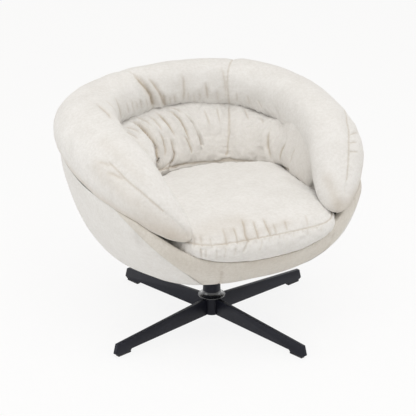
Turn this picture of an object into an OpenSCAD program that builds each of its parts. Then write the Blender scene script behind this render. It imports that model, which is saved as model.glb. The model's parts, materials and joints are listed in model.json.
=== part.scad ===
// Swivel lounge chair: an upholstered bucket that turns on a four-legged steel base.
// Z is up, the swivel axis is the Z axis, the floor is z = 0 and the seat faces -Y.
// Angles round the axis are measured from the back (+Y) towards +X.

/* [Overall] */
// Width over the arms
overall_w = 838.2; // [780:1:900]
// Depth from the back to the nose of the seat cushion
overall_d = 755.6; // [700:1:820]
// Height of the crest of the back
overall_h = 698.5; // [670:1:740]
// Height of the sewn edge of the seat cushion at the back
seat_h = 430; // [410:1:450]
// Distance from the seat's height down to the underside of the bowl
bowl_depth = 240; // [235:1:255]

/* [Arm and back roll] */
// Half width of the roll at its fattest
roll_half_w = 90; // [75:1:100]
// Half height of the roll at its fattest
roll_half_h = 86; // [70:1:95]
// Height of the arm tips above the seat
tip_rise = 10; // [-5:1:25]
// Sideways place of each arm tip
tip_x = 220; // [205:1:235]
// Forward place of each arm tip
tip_y = 328; // [310:1:340]

/* [Seat cushion] */
// Width of the seat between the arms, at the bulge of the cushion
seat_w = 524; // [490:1:530]
// Distance from the swivel axis to the back edge of the seat cushion
seat_back_y = 140; // [110:1:160]
// Thickness of the seat cushion at its sewn edge
cushion_t = 90; // [70:1:105]
// Rise of the cushion's crown above its sewn edge
crown_h = 16; // [5:1:25]
// How much lower the sewn edge lies at the nose than at the back
nose_drop = 34; // [10:1:45]
// How far the sides bulge past the sewn edge
side_bulge = 20; // [8:1:28]

/* [Back cushion] */
// How far the back cushion swells towards the sitter
back_swell = 30; // [10:1:45]
// Depth of the folds sewn into the back cushion
fold_depth = 13; // [4:1:18]

/* [Bowl] */
// Distance from the axis to the front lip of the bowl
lip_y = 352; // [340:1:360]
// Distance from the seat's height down to the front lip of the bowl
lip_drop = 104; // [94:1:110]
// How far the bowl bulges out below the corners of its lip
lip_bulge = 16; // [0:1:24]
// Radius of the flat at the bottom of the bowl
floor_r = 105; // [95:1:115]
// Thickness of the padded outer cover
cover_t = 12; // [6:1:15]
// Thickness of the moulded shell
shell_t = 10; // [6:1:14]

/* [Seat deck] */
// Thickness of the seat board
seat_board_t = 12; // [9:1:18]
// Radius of the opening in the seat board
seat_board_hole_r = 190; // [150:1:220]
// Width of each webbing strap
strap_w = 50; // [40:1:60]
// Thickness of each webbing strap
strap_t = 1.2; // [0.8:0.1:2]
// Number of straps each way
strap_count = 5; // [3:1:6]

/* [Base] */
// Distance from the axis to the end of each leg
leg_reach = 376; // [330:1:385]
// Thickness of each leg
leg_t = 12; // [8:1:16]
// Height of the leg where it meets the hub
leg_root_h = 53; // [40:1:56]
// Height of the leg's top edge above the floor at its end
leg_tip_z = 38; // [28:1:45]
// Turn of the base under the seat
base_turn = 18; // [0:1:44]
// Radius of the hub
hub_r = 25; // [22:0.5:30]
// Height of the hub's underside above the floor
hub_z = 16; // [12:1:20]
// Height of the hub
hub_h = 56; // [56:1:62]
// Length of each foot pad
foot_len = 44; // [30:1:60]
// Thickness of each foot pad
foot_t = 4; // [3:0.5:6]

/* [Column and swivel] */
// Outer radius of the steel post in the hub
post_r = 19; // [18:0.5:21]
// Wall of the steel post
post_wall = 3; // [2:0.5:4]
// Radius of the swivel spindle
spindle_r = 11; // [9:0.5:12]
// Running clearance round the spindle
spindle_gap = 0.05; // [0.02:0.01:0.1]
// Radius of the column sleeve at its foot
sleeve_foot_r = 25.8; // [24:0.1:28]
// Radius of the column sleeve at its top
sleeve_top_r = 23; // [22:0.1:24]
// Radius of the collar's rim
collar_r = 39.5; // [34:0.5:45]
// Height of the collar
collar_h = 16; // [12:1:20]
// Radius of each ball in the thrust bearing
ball_r = 2; // [1.5:0.1:2.5]
// Number of balls
ball_count = 12; // [8:1:16]
// Thickness of each thrust washer
thrust_t = 2; // [1.5:0.1:3]

/* [Mounting plate] */
// Side of the square plate under the bowl
plate_w = 160; // [140:1:175]
// Thickness of the plate
plate_t = 6; // [4:0.5:8]
// Half the distance between the plate's holes
plate_hole_at = 58; // [50:1:64]
// Radius of the bolts through the plate
bolt_r = 4; // [3:0.5:5]

/* [Hidden] */
// Facets of round parts
$fn = 64;
// Overrun of every cut
cut = 1;
// Gap between soft pieces that lie against each other
soft_gap = 0.6;
// Gap between the padded cover and the shell under it
cover_gap = 0.4;
// Gap between the back cushion and the shell behind it
pad_gap = 2.6;

// Heights that follow the seat
bowl_z = seat_h - bowl_depth;
lip_z = seat_h - lip_drop;
tip_z = seat_h + tip_rise;

// Plan of the roll and the bowl
plan_back_power = 3;
plan_front_power = 1.9;
lip_power = 2.2;
// Sizes of the roll from the centre of the back to the arm tip, in equal steps
roll_w_shares = [0.84, 0.92, 1, 0.97, 0.91, 0.95];
roll_h_shares = [0.82, 0.86, 0.93, 1, 0.97, 0.85];
roll_drop_shares = [0, 0.06, 0.19, 0.36, 0.55, 1];
roll_lean_shares = [0.36, 0.32, 0.24, 0.18, 0.17, 0.17];
// How suddenly the arm tips close, and how close to a point they end
tip_power = 14;
tip_end_share = 0.997;
roll_points = 16;
roll_steps = 64;
seam_angle = 45;
// Where the bowl's edge leaves the roll, and how fast it falls to the front lip
lip_angle = 126;
lip_fall_power = 2.9;
bulge_angle = 136;
bulge_half_angle = 22;
bulge_power = 1.7;

// Bowl profile from its flat floor to its top edge
bowl_r_powers = [0.6, 0.58, 0.62, 0.85, 1];
bowl_z_power = 1.4;
bowl_steps = 8;
bowl_turns = 60;
// Seam between the side cover and the front band, from the floor to the top edge
seam_column = 132;
band_seam_shares = [1.13, 1.13, 1.12, 1.06, 0.87];

// Seat cushion
cushion_back_power = 1.8;
cushion_front_power = 4.8;
cushion_turns = 90;
cushion_side_steps = 5;
cushion_top_steps = 5;
cushion_foot_inset = 12;
// How far the rings of points on the cushion's underside and crown close towards its centre
cushion_foot_share = 0.35;
cushion_crown_share = 0.97;
belly_power = 0.85;
crown_power = 0.7;
crown_edge_power = 1.6;
foot_rise_share = 0.33;
rim_rise_share = 0.35;
rim_gap = 11;
nose_pucker = 2.5;
nose_pucker_count = 44;

// Back cushion
back_end_angle = 124;
back_steps = 62;
// The back cushion draws in from the shell from this angle to its end
back_close_angle = 100;
back_close_gap = 14;
back_face_steps = 4;
back_wall_steps = 4;
fold_angles = [-104, -80, -56, -40, -20, 20, 44, 72, 104];
fold_depth_shares = [0.7, 1, 0.9, 0.8, 1, 1, 0.6, 0.5, 0.6];
fold_half_angle = 5;

// Deck
deck_z = seat_h - cushion_t - 2 * strap_t - soft_gap;
strap_pitch = 72;
strap_overlap = 30;
board_gap = 0.3;

// Base
leg_end_lean = 8;
leg_toe_r = 6;
leg_foot_step = 5;
leg_foot_back = 4;
hub_wall_gap = 0.05;
hub_cap_t = 5;
hub_cap_lip_r = 21;
hub_cap_lip_t = 1.5;
// Front left, front right, rear right and rear left
leg_angles = [for (i = [0 : 3]) 180 + base_turn + 90 * i];

// Column and swivel heights, from the floor up
post_lift = 3;
bushing_lift = 16;
hub_top = hub_z + hub_h;
post_z = hub_z + hub_cap_t + post_lift;
plate_z = bowl_z - plate_t;
upper_washer_z = plate_z - thrust_t;
ball_z = upper_washer_z - ball_r;
lower_washer_z = ball_z - ball_r - thrust_t;
post_top = lower_washer_z;
bushing_h = 20;
clip_t = 1.5;
clip_gap = 0.1;
clip_r = 15;
groove_depth = 1.5;
clip_washer_t = 1.5;
lower_bushing_z = post_z + bushing_lift;
spindle_end = 6;
ball_clearance = 0.02;
cage_t = 2.2;
cage_gap = 0.05;
thrust_in_gap = 2;
thrust_r = sleeve_top_r;
ball_pitch_r = (spindle_r + thrust_in_gap + thrust_r) / 2;
cage_margin = 4;

// Mounting plate and its fasteners
plate_corner_r = 12;
bolt_clear = 0.5;
bolt_head_af = 13;
bolt_head_h = 5.3;
bolt_washer_r = 8.5;
bolt_washer_t = 1.6;
tnut_wall = 1.5;
tnut_depth = 12;
tnut_flange_r = 11;
tnut_flange_t = 1.6;
bolt_end = 1;
board_flange_r = 118;
board_flange_t = 12;
// The flange clears the shell where its wall starts to rise
board_flange_lift = 1.6;
board_plug_gap = 0.6;
dust_cover_r = 125;
dust_cover_t = 1;
dust_cover_gap = 1;

// Smooth curve through equally spaced values, level at its start
function curve(values, t) =
  let (last = len(values) - 1, x = min(max(t, 0), 1) * last, i = min(floor(x), last - 1), f = x - i,
       a = values[abs(i - 1)], b = values[i], c = values[i + 1], d = values[min(i + 2, last)])
  b + f * (c - a) / 2 + f * f * (a - 2.5 * b + 2 * c - d / 2) + f * f * f * (1.5 * (b - c) + (d - a) / 2);

// Radius of a superellipse at an angle from the back, with its own depth behind and in front
function plan(angle, half_w, back, front, power) =
  let (s = abs(sin(angle)) / half_w, c = abs(cos(angle)) / (cos(angle) > 0 ? back : front))
  1 / pow(pow(s, power) + pow(c, power), 1 / power);

// Half width that takes a superellipse of the given depth through a point
function half_width_through(x, y, depth, power) = x / pow(1 - pow(y / depth, power), 1 / power);

// A point given by its angle round the axis and [radius, height]
function spin(angle, p) = [p[0] * sin(angle), p[0] * cos(angle), p[1]];

function mix(a, b, t) = a + (b - a) * t;

// Triangles of a tube of rows of points; each row runs up one side and back down the other.
// The diagonals mirror each other in the middle row, and swap turns them all.
function tube_faces(rows, cols, closed, swap) =
  let (pairs = cols / 2)
  concat(
    [for (i = [0 : rows - (closed ? 1 : 2)]) for (j = [0 : cols - 1])
      let (n = (i + 1) % rows, k = (j + 1) % cols, a = i * cols + j, b = n * cols + j, c = n * cols + k,
           d = i * cols + k)
      each (j < pairs) != ((i < (closed ? rows : rows - 1) / 2) != swap) ?
        [[a, b, c], [a, c, d]] : [[a, b, d], [b, c, d]]],
    closed ? [] : [for (end = [0, 1]) for (j = [0 : pairs - 2]) for (half = [0, 1])
      let (o = end * (rows - 1) * cols, a = o + j, b = o + j + 1, c = o + cols - 2 - j, d = o + cols - 1 - j,
           f = half == 0 ? [a, b, c] : [a, c, d])
      end == 0 ? f : [f[2], f[1], f[0]]]);

module tube(rows, closed = false, swap = false)
  polyhedron(points = [for (row = rows) each row], faces = tube_faces(len(rows), len(rows[0]), closed, swap),
    convexity = 10);

// Arm and back roll
tip_angle = 180 - atan(tip_x / tip_y);
roll_crest_z = overall_h - roll_half_h * roll_h_shares[0];
// Steps that crowd towards the ends of a row from -1 to 1
function crowd(t) = 1.25 * t - 0.25 * pow(t, 3);
function roll_share(angle) = min(abs(angle) / tip_angle, tip_end_share);
function roll_close(angle) = sqrt(1 - pow(roll_share(angle), tip_power));
function roll_w(angle) = roll_half_w * curve(roll_w_shares, roll_share(angle)) * roll_close(angle);
function roll_h(angle) = roll_half_h * curve(roll_h_shares, roll_share(angle)) * roll_close(angle);
function roll_z(angle) = mix(roll_crest_z, tip_z, curve(roll_drop_shares, roll_share(angle)));
function roll_lean(angle) = roll_h(angle) * curve(roll_lean_shares, roll_share(angle));
function roll_reach(angle) = norm([roll_w(angle), roll_lean(angle)]);
roll_side = overall_w / 2 - roll_reach(90);
roll_back = overall_d / 2 - roll_reach(0);
roll_front = half_width_through(tip_y, tip_x, roll_side, plan_front_power);
function roll_r(angle) =
  plan(angle, roll_side, roll_back, roll_front, cos(angle) > 0 ? plan_back_power : plan_front_power);
// A point of the roll's section, grown by a gap
function roll_point(angle, round, gap = 0) =
  [roll_r(angle) + (roll_w(angle) + gap) * cos(round) - roll_lean(angle) * sin(round),
   roll_z(angle) + (roll_h(angle) + gap) * sin(round)];

module arm_back_roll() color("oldlace")
  tube([for (i = [0 : roll_steps]) let (t = 2 * i / roll_steps - 1, angle = tip_angle * tip_end_share * crowd(t))
    [for (j = [0 : roll_points - 1]) spin(angle, roll_point(angle, 360 * j / roll_points))]]);

// Bowl: the edge that it ends in under the roll and along the front lip
lip_start = roll_point(lip_angle, -seam_angle, soft_gap);
lip_side = half_width_through(lip_start[0] * sin(lip_angle), -lip_start[0] * cos(lip_angle), lip_y, lip_power);
function front_share(angle) = max(0, (abs(angle) - lip_angle) / (180 - lip_angle));
function bowl_edge(angle) = abs(angle) <= lip_angle ? roll_point(angle, -seam_angle, soft_gap) :
  [plan(angle, lip_side, lip_y, lip_y, lip_power),
   mix(lip_z, lip_start[1], pow(1 - front_share(angle), lip_fall_power))];
// Direction in which the layers follow each other at the edge, as an angle below level
function edge_dip(angle) =
  let (a = min(abs(angle), lip_angle), p = roll_point(a, -seam_angle), q = roll_point(a, -1.5 * seam_angle))
  mix(atan((p[1] - q[1]) / (p[0] - q[0])), 0, front_share(angle));
// A point of the bowl, up to its edge at 1, moved inwards by a depth
function bowl_point(angle, up, depth = 0) =
  let (edge = bowl_edge(angle), dip = 90 - up * (90 + edge_dip(angle)))
  [mix(floor_r, edge[0], pow(sin(90 * up), curve(bowl_r_powers, abs(angle) / 180)))
     + lip_bulge * exp(-pow((abs(angle) - bulge_angle) / bulge_half_angle, 2)) * sin(180 * pow(up, bulge_power))
     - depth * cos(dip),
   mix(bowl_z, edge[1], 1 - pow(cos(90 * up), bowl_z_power)) + depth * sin(dip)];
// The columns of points lean with the seam of the front band
function seam_lean(turn, up) =
  let (a = turn > 180 ? turn - 360 : turn, s = seam_column * curve(band_seam_shares, up))
  abs(a) <= seam_column ? a * s / seam_column :
    sign(a) * (180 - (180 - abs(a)) * (180 - s) / (180 - seam_column));
function bowl_row(turn, outer, inner) =
  concat([for (k = [0 : bowl_steps]) let (up = k / bowl_steps, a = seam_lean(turn, up))
           spin(a, bowl_point(a, up, outer))],
         [for (k = [bowl_steps : -1 : 0]) let (up = k / bowl_steps, a = seam_lean(turn, up))
           spin(a, bowl_point(a, up, inner))]);
turn_step = 360 / bowl_turns;

module shell_cover() color("linen")
  tube([for (turn = [-seam_column : turn_step : seam_column]) bowl_row(turn, 0, cover_t)]);
module front_band_cover() color("antiquewhite")
  tube([for (turn = [seam_column : turn_step : 360 - seam_column]) bowl_row(turn, 0, cover_t)], swap = true);
shell_out = cover_t + cover_gap;
shell_in = shell_out + shell_t;
module shell_frame() color("tan")
  tube([for (i = [0 : bowl_turns - 1]) bowl_row(i * turn_step - 180, shell_out, shell_in)], true);

// Seat cushion: its bulge, its sewn edge and its crown
cushion_z = deck_z + 2 * strap_t + soft_gap;
function nose(angle) = pow(max(0, -cos(angle)), 2);
function cushion_r(angle) =
  plan(angle, seat_w / 2, seat_back_y, overall_d / 2, cos(angle) > 0 ? cushion_back_power : cushion_front_power)
  - nose_pucker / 2 * pow(nose(angle), 3) * (1 - cos(nose_pucker_count * angle));
function cushion_edge_z(angle) = seat_h - nose_drop * nose(angle);
// How far out the cushion may reach: to the bowl's wall, or over the bowl's rim above it
function cushion_room(angle, z) =
  let (edge = bowl_edge(angle), rim = bowl_point(angle, 1, shell_in),
       tilt = (edge[1] - rim[1]) / (edge[0] - rim[0]))
  z < rim[1] ? bowl_point(angle, find_up(angle, z), shell_in + rim_gap)[0] :
    rim[0] - rim_gap + (z - rim[1]) / (tilt + rim_rise_share);
// Side of the cushion, from its foot at 0 to its sewn edge at 1
function cushion_side(angle, up, gap = 0) =
  let (z = mix(cushion_z, cushion_edge_z(angle), up), belly = sin(180 * pow(up, belly_power)),
       foot = mix(cushion_foot_inset, 0, min(1, up / foot_rise_share)))
  [min(cushion_r(angle) - side_bulge * (1 - belly) - foot + gap, cushion_room(angle, z)), z];
// Top of the cushion, from the sewn edge at 0 to the centre at 1
cushion_centre_y = (seat_back_y - overall_d / 2) / 2;
function cushion_top(angle, in) =
  let (edge = spin(angle, cushion_side(angle, 1)), rise = pow(sin(90 * in), crown_power), keep = 1 - in)
  [edge[0] * keep, mix(cushion_centre_y, edge[1], keep),
   mix(edge[2], seat_h, 1 - pow(keep, crown_edge_power)) + crown_h * rise];

cushion_angles = [for (j = [0 : cushion_turns - 1]) 180 - 360 * j / cushion_turns];
module seat_cushion() color("ivory")
  tube(concat(
    [[for (a = cushion_angles) let (p = spin(a, cushion_side(a, 0)))
      [p[0] * cushion_foot_share, mix(cushion_centre_y, p[1], cushion_foot_share), cushion_z]]],
    [for (i = [0 : cushion_side_steps]) [for (a = cushion_angles)
      spin(a, cushion_side(a, i / cushion_side_steps))]],
    [for (i = [1 : cushion_top_steps]) [for (a = cushion_angles)
      cushion_top(a, cushion_crown_share * i / cushion_top_steps)]]));

// Height on the bowl's inner wall, found by halving
function find_up(angle, z, low = 0, high = 1, turns = 16) =
  turns == 0 ? (low + high) / 2 :
  let (mid = (low + high) / 2)
  bowl_point(angle, mid, shell_in)[1] < z ? find_up(angle, z, mid, high, turns - 1) :
    find_up(angle, z, low, mid, turns - 1);

// Back cushion: folds, face and wall
function fold(angle, i = 0) = i == len(fold_angles) ? 0 :
  fold_depth_shares[i] * exp(-pow((angle - fold_angles[i]) / fold_half_angle, 2)) + fold(angle, i + 1);
back_top_share = 0.93;
function back_close(angle) =
  pow(max(0, abs(angle) - back_close_angle) / (back_end_angle - back_close_angle), 2);
function back_row(angle) =
  let (low = find_up(angle, cushion_z),
       seam = roll_point(angle, 180 + seam_angle, soft_gap),
       foot = cushion_side(angle, 0, soft_gap),
       lip = cushion_side(angle, 1, soft_gap),
       run = norm(seam - lip),
       out = [(lip[1] - seam[1]) / run, (seam[0] - lip[0]) / run])
  concat(
    [for (k = [0 : back_wall_steps])
      bowl_point(angle, mix(low, back_top_share, k / back_wall_steps),
        shell_in + pad_gap + back_close_gap * back_close(angle))],
    [for (round = [-90, -90 - seam_angle / 2]) roll_point(angle, round, soft_gap)],
    [seam],
    [for (k = [1 : back_face_steps])
      let (t = k / (back_face_steps + 1), swell = sin(180 * t))
      mix(seam, lip, t) + out * (back_swell * swell - fold_depth * fold(angle) * swell)],
    [for (k = [cushion_side_steps : -1 : 0]) cushion_side(angle, k / cushion_side_steps, soft_gap)]);

module back_cushion() color("seashell")
  tube([for (i = [0 : back_steps]) let (angle = back_end_angle * (2 * i / back_steps - 1))
    [for (p = back_row(angle)) spin(angle, p)]]);

// Seat board, fitted to the columns of the shell's inner wall
board_z = deck_z - seat_board_t;
function wall_column(turn) = [for (k = [0 : bowl_steps]) let (up = k / bowl_steps, a = seam_lean(turn, up))
  spin(a, bowl_point(a, up, shell_in + board_gap))];
function wall_at(turn, z) =
  let (p = wall_column(turn), k = max([for (i = [0 : bowl_steps - 1]) if (p[i][2] <= z) i]))
  mix(p[k], p[k + 1], (z - p[k][2]) / (p[k + 1][2] - p[k][2]));
module seat_board() color("burlywood") difference() {
  translate([0, 0, board_z]) linear_extrude(seat_board_t)
    polygon([for (i = [0 : bowl_turns - 1]) let (p = wall_at(i * turn_step, board_z)) [p[0], p[1]]]);
  translate([0, 0, board_z - cut]) cylinder(r = seat_board_hole_r, h = seat_board_t + 2 * cut);
}

module strap(along, at, z)
  translate([along ? at - strap_w / 2 : -seat_board_hole_r - strap_overlap,
             along ? -seat_board_hole_r - strap_overlap : at - strap_w / 2, z])
    cube([along ? strap_w : 2 * (seat_board_hole_r + strap_overlap),
          along ? 2 * (seat_board_hole_r + strap_overlap) : strap_w, strap_t]);
module straps(along, z)
  for (i = [0 : strap_count - 1]) strap(along, strap_pitch * (i - (strap_count - 1) / 2), z);
module lengthwise_webbing() color("dimgray") straps(true, deck_z);
module crosswise_webbing() color("gray") straps(false, deck_z + strap_t);

// Round parts of the base and the swivel
module ring(outer, inner, h, z) translate([0, 0, z]) difference() {
  cylinder(r = outer, h = h);
  translate([0, 0, -cut]) cylinder(r = inner, h = h + 2 * cut);
}

module hub_socket() color("dimgray") ring(hub_r, post_r, hub_h, hub_z);
module hub_bottom_cap() color("black") {
  translate([0, 0, hub_z]) cylinder(r = post_r - hub_wall_gap, h = hub_cap_t);
  translate([0, 0, hub_z - hub_cap_lip_t]) cylinder(r = hub_cap_lip_r, h = hub_cap_lip_t);
}
module column_post() color("silver") ring(post_r, post_r - post_wall, post_top - post_z, post_z);
module column_sleeve() color("dimgray") rotate_extrude()
  polygon([[post_r, hub_top + collar_h], [sleeve_foot_r, hub_top + collar_h],
           [sleeve_top_r, post_top], [post_r, post_top]]);
collar_rim_h = 3;
collar_steps = 12;
module column_collar() color("black") rotate_extrude()
  polygon(concat([[post_r, hub_top], [collar_r, hub_top], [collar_r, hub_top + collar_rim_h]],
    [for (i = [1 : collar_steps]) let (t = 90 * i / collar_steps)
      [mix(sleeve_foot_r, collar_r, 1 - sin(t)),
       mix(hub_top + collar_rim_h, hub_top + collar_h, 1 - cos(t))]],
    [[post_r, hub_top + collar_h]]));
module bushing(z) ring(post_r - post_wall, spindle_r + spindle_gap, bushing_h, z);
module lower_bushing() color("white") bushing(lower_bushing_z);
module upper_bushing() color("white") bushing(post_top - bushing_h);
module thrust_washer(z) ring(thrust_r, spindle_r + spindle_gap, thrust_t, z);
module lower_thrust_washer() color("silver") thrust_washer(lower_washer_z);
module upper_thrust_washer() color("silver") thrust_washer(upper_washer_z);
module at_balls() for (i = [0 : ball_count - 1]) rotate([0, 0, 360 * i / ball_count])
  translate([ball_pitch_r, 0, 0]) children();
module ball_cage() color("goldenrod") difference() {
  ring(ball_pitch_r + cage_margin, ball_pitch_r - cage_margin, cage_t, ball_z - cage_t / 2);
  at_balls() translate([0, 0, ball_z - cage_t]) cylinder(r = ball_r + cage_gap, h = 2 * cage_t);
}
module bearing_balls() color("silver") at_balls() translate([0, 0, ball_z])
  sphere(r = ball_r - ball_clearance);

clip_z = lower_bushing_z - clip_gap - clip_washer_t - clip_t;
spindle_z = clip_z - spindle_end;
module swivel_spindle() color("silver") difference() {
  translate([0, 0, spindle_z]) cylinder(r = spindle_r, h = bowl_z - spindle_z);
  ring(spindle_r + cut, spindle_r - groove_depth, clip_t, clip_z);
}
module retaining_clip() color("dimgray") ring(clip_r, spindle_r - groove_depth, clip_t, clip_z);
module spindle_washer() color("silver")
  ring(clip_r, spindle_r + spindle_gap, clip_washer_t, clip_z + clip_t);

// Mounting plate and fasteners
module at_bolts() for (x = [-1, 1]) for (y = [-1, 1])
  translate([x * plate_hole_at, y * plate_hole_at, 0]) children();
module mounting_plate() color("dimgray") translate([0, 0, plate_z]) difference() {
  linear_extrude(plate_t) union() {
    square([plate_w, plate_w - 2 * plate_corner_r], center = true);
    square([plate_w - 2 * plate_corner_r, plate_w], center = true);
    for (x = [-1, 1]) for (y = [-1, 1])
      translate([x, y] * (plate_w / 2 - plate_corner_r)) circle(r = plate_corner_r);
  }
  translate([0, 0, -cut]) cylinder(r = spindle_r, h = plate_t + 2 * cut);
  at_bolts() translate([0, 0, -cut]) cylinder(r = bolt_r + bolt_clear, h = plate_t + 2 * cut);
}
flange_z = bowl_z + shell_in + board_flange_lift;
board_top = flange_z + board_flange_t;
module plate_bolts() color("silver") at_bolts() {
  translate([0, 0, plate_z - bolt_washer_t]) cylinder(r = bolt_r, h = board_top + tnut_flange_t + bolt_end
    - plate_z + bolt_washer_t);
  translate([0, 0, plate_z - bolt_washer_t - bolt_head_h])
    cylinder(r = bolt_head_af / sqrt(3), h = bolt_head_h, $fn = 6);
}
module plate_washers() color("silver") at_bolts()
  ring(bolt_washer_r, bolt_r, bolt_washer_t, plate_z - bolt_washer_t);
module t_nuts() color("silver") at_bolts() {
  ring(bolt_r + tnut_wall, bolt_r, tnut_depth, board_top - tnut_depth);
  ring(tnut_flange_r, bolt_r, tnut_flange_t, board_top);
}
module bottom_board() color("burlywood") difference() {
  union() {
    translate([0, 0, bowl_z]) cylinder(r = floor_r - board_plug_gap, h = board_top - bowl_z);
    translate([0, 0, flange_z]) cylinder(r = board_flange_r, h = board_flange_t);
  }
  at_bolts() translate([0, 0, bowl_z - cut])
    cylinder(r = bolt_r + tnut_wall, h = board_top - bowl_z + 2 * cut);
}
module dust_cover() color("black") translate([0, 0, bowl_z - dust_cover_t]) difference() {
  cylinder(r = dust_cover_r, h = dust_cover_t);
  translate([-1, -1, 0] * (plate_w / 2 + dust_cover_gap) - [0, 0, cut])
    cube([plate_w + 2 * dust_cover_gap, plate_w + 2 * dust_cover_gap, dust_cover_t + 2 * cut]);
}

// Legs: flat bars on edge that taper to a foot with a small heel
leg_heel = leg_reach - foot_len - 2 * leg_end_lean;
module leg_outline() polygon([
  [0, hub_z], [leg_heel, foot_t + leg_foot_step], [leg_heel + leg_foot_back, foot_t],
  [leg_reach - leg_end_lean - leg_toe_r / 2, foot_t], [leg_reach, foot_t + leg_toe_r],
  [leg_reach - leg_end_lean, leg_tip_z], [0, hub_z + leg_root_h]]);
module leg(angle) color("dimgray") difference() {
  rotate([0, 0, angle]) rotate([90, 0, 0]) linear_extrude(leg_t, center = true) leg_outline();
  translate([0, 0, hub_z - cut]) cylinder(r = hub_r, h = hub_h + 2 * cut);
}
module foot_pad(angle) color("black") rotate([0, 0, angle])
  translate([leg_heel + leg_foot_back, -leg_t / 2, 0])
    cube([leg_reach - leg_end_lean - leg_toe_r / 2 - leg_heel - leg_foot_back, leg_t, foot_t]);

module front_left_leg() leg(leg_angles[0]);
module front_right_leg() leg(leg_angles[1]);
module rear_right_leg() leg(leg_angles[2]);
module rear_left_leg() leg(leg_angles[3]);
module front_left_foot_pad() foot_pad(leg_angles[0]);
module front_right_foot_pad() foot_pad(leg_angles[1]);
module rear_right_foot_pad() foot_pad(leg_angles[2]);
module rear_left_foot_pad() foot_pad(leg_angles[3]);

hub_socket();
hub_bottom_cap();
front_left_leg();
front_right_leg();
rear_left_leg();
rear_right_leg();
front_left_foot_pad();
front_right_foot_pad();
rear_left_foot_pad();
rear_right_foot_pad();
column_post();
column_sleeve();
column_collar();
lower_bushing();
upper_bushing();
lower_thrust_washer();
ball_cage();
bearing_balls();
upper_thrust_washer();
swivel_spindle();
spindle_washer();
retaining_clip();
mounting_plate();
plate_bolts();
plate_washers();
t_nuts();
bottom_board();
dust_cover();
shell_frame();
shell_cover();
front_band_cover();
seat_board();
lengthwise_webbing();
crosswise_webbing();
seat_cushion();
back_cushion();
arm_back_roll();
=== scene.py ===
import json
import math

import bmesh
import bpy
import numpy as np
from mathutils import Matrix, Vector, noise
from mathutils.bvhtree import BVHTree


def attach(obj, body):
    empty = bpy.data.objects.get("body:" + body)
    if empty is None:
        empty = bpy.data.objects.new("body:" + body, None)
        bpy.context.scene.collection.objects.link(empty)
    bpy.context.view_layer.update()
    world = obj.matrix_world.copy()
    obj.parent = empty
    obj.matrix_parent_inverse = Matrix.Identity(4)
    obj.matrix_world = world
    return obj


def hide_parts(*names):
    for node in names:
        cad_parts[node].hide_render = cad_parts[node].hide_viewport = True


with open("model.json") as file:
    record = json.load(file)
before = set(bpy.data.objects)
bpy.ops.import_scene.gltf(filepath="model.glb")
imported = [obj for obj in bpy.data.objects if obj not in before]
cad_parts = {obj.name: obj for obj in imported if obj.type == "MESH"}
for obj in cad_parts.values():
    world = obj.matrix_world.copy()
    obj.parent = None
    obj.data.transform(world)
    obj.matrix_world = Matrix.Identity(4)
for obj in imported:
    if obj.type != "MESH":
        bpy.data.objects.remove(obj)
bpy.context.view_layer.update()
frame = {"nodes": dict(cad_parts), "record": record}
nodes = frame["nodes"]
scene = bpy.context.scene
print("frame loaded")

# The camera comes first, because seams and folds are laid on the cloth through its view
viewpoint = {"azimuth": -25.931, "elevation": 22.155, "place": (-1.95376, -3.99335, 2.1533),
             "sensor": 36.0, "lens": 145.76, "imageSide": 416, "clipEnd": 60}
azimuth, elevation = math.radians(viewpoint["azimuth"]), math.radians(viewpoint["elevation"])
rightWay = Vector((math.cos(azimuth), math.sin(azimuth), 0))
upWay = Vector((-math.sin(azimuth) * math.sin(elevation), math.cos(azimuth) * math.sin(elevation),
                math.cos(elevation)))
aheadWay = Vector((-math.sin(azimuth) * math.cos(elevation), math.cos(azimuth) * math.cos(elevation),
                   -math.sin(elevation)))


def placed(name, data):
    piece = bpy.data.objects.new(name, data)
    scene.collection.objects.link(piece)
    return piece


def makeCamera():
    data = bpy.data.cameras.new("studioCamera")
    data.sensor_width = viewpoint["sensor"]
    data.lens = viewpoint["lens"]
    data.clip_end = viewpoint["clipEnd"]
    camera = placed("studioCamera", data)
    turn = Matrix((rightWay, upWay, -aheadWay)).transposed().to_4x4()
    camera.matrix_world = Matrix.Translation(viewpoint["place"]) @ turn
    scene.camera = camera


def viewRay(x, y):
    half = viewpoint["imageSide"] / 2
    reach = viewpoint["lens"] / viewpoint["sensor"] * viewpoint["imageSide"]
    return (aheadWay + rightWay * ((x - half) / reach) - upWay * ((y - half) / reach)).normalized()


makeCamera()

# Named sizes of the frame, in millimetres, so that the cloth follows the same curves
body = {"width": 838.2, "depth": 755.6, "height": 698.5, "seatHeight": 430, "bowlDepth": 240,
        "lipDrop": 104, "tipRise": 10, "softGap": 0.6}
bowlZ = body["seatHeight"] - body["bowlDepth"]
lipZ = body["seatHeight"] - body["lipDrop"]
tipZ = body["seatHeight"] + body["tipRise"]
almostOne = 0.99999  # keeps the closing curves off their very ends


def sinD(a):
    return np.sin(np.radians(a))


def cosD(a):
    return np.cos(np.radians(a))


def between(a, b, t):
    return a + (b - a) * t


# How far x is on its way from low to high, from 0 to 1
def portion(x, low, high):
    return np.clip((x - low) / (high - low), 0, 1)


def smoothStep(t):
    return t * t * (3 - 2 * t)


def hump(x, half):
    return np.exp(-(x / half) ** 2)


# Angles past 180 degrees as negative ones
def wrapped(angle):
    return np.where(angle > 180, angle - 360, angle)


def smoothCurve(values, t):
    values = np.asarray(values, float)
    last = len(values) - 1
    x = np.clip(t, 0, 1) * last
    i = np.minimum(np.floor(x).astype(int), last - 1)
    f = x - i
    a, b, c, d = values[np.abs(i - 1)], values[i], values[i + 1], values[np.minimum(i + 2, last)]
    return (b + f * (c - a) / 2 + f ** 2 * (a - 2.5 * b + 2 * c - d / 2)
            + f ** 3 * (1.5 * (b - c) + (d - a) / 2))


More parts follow.
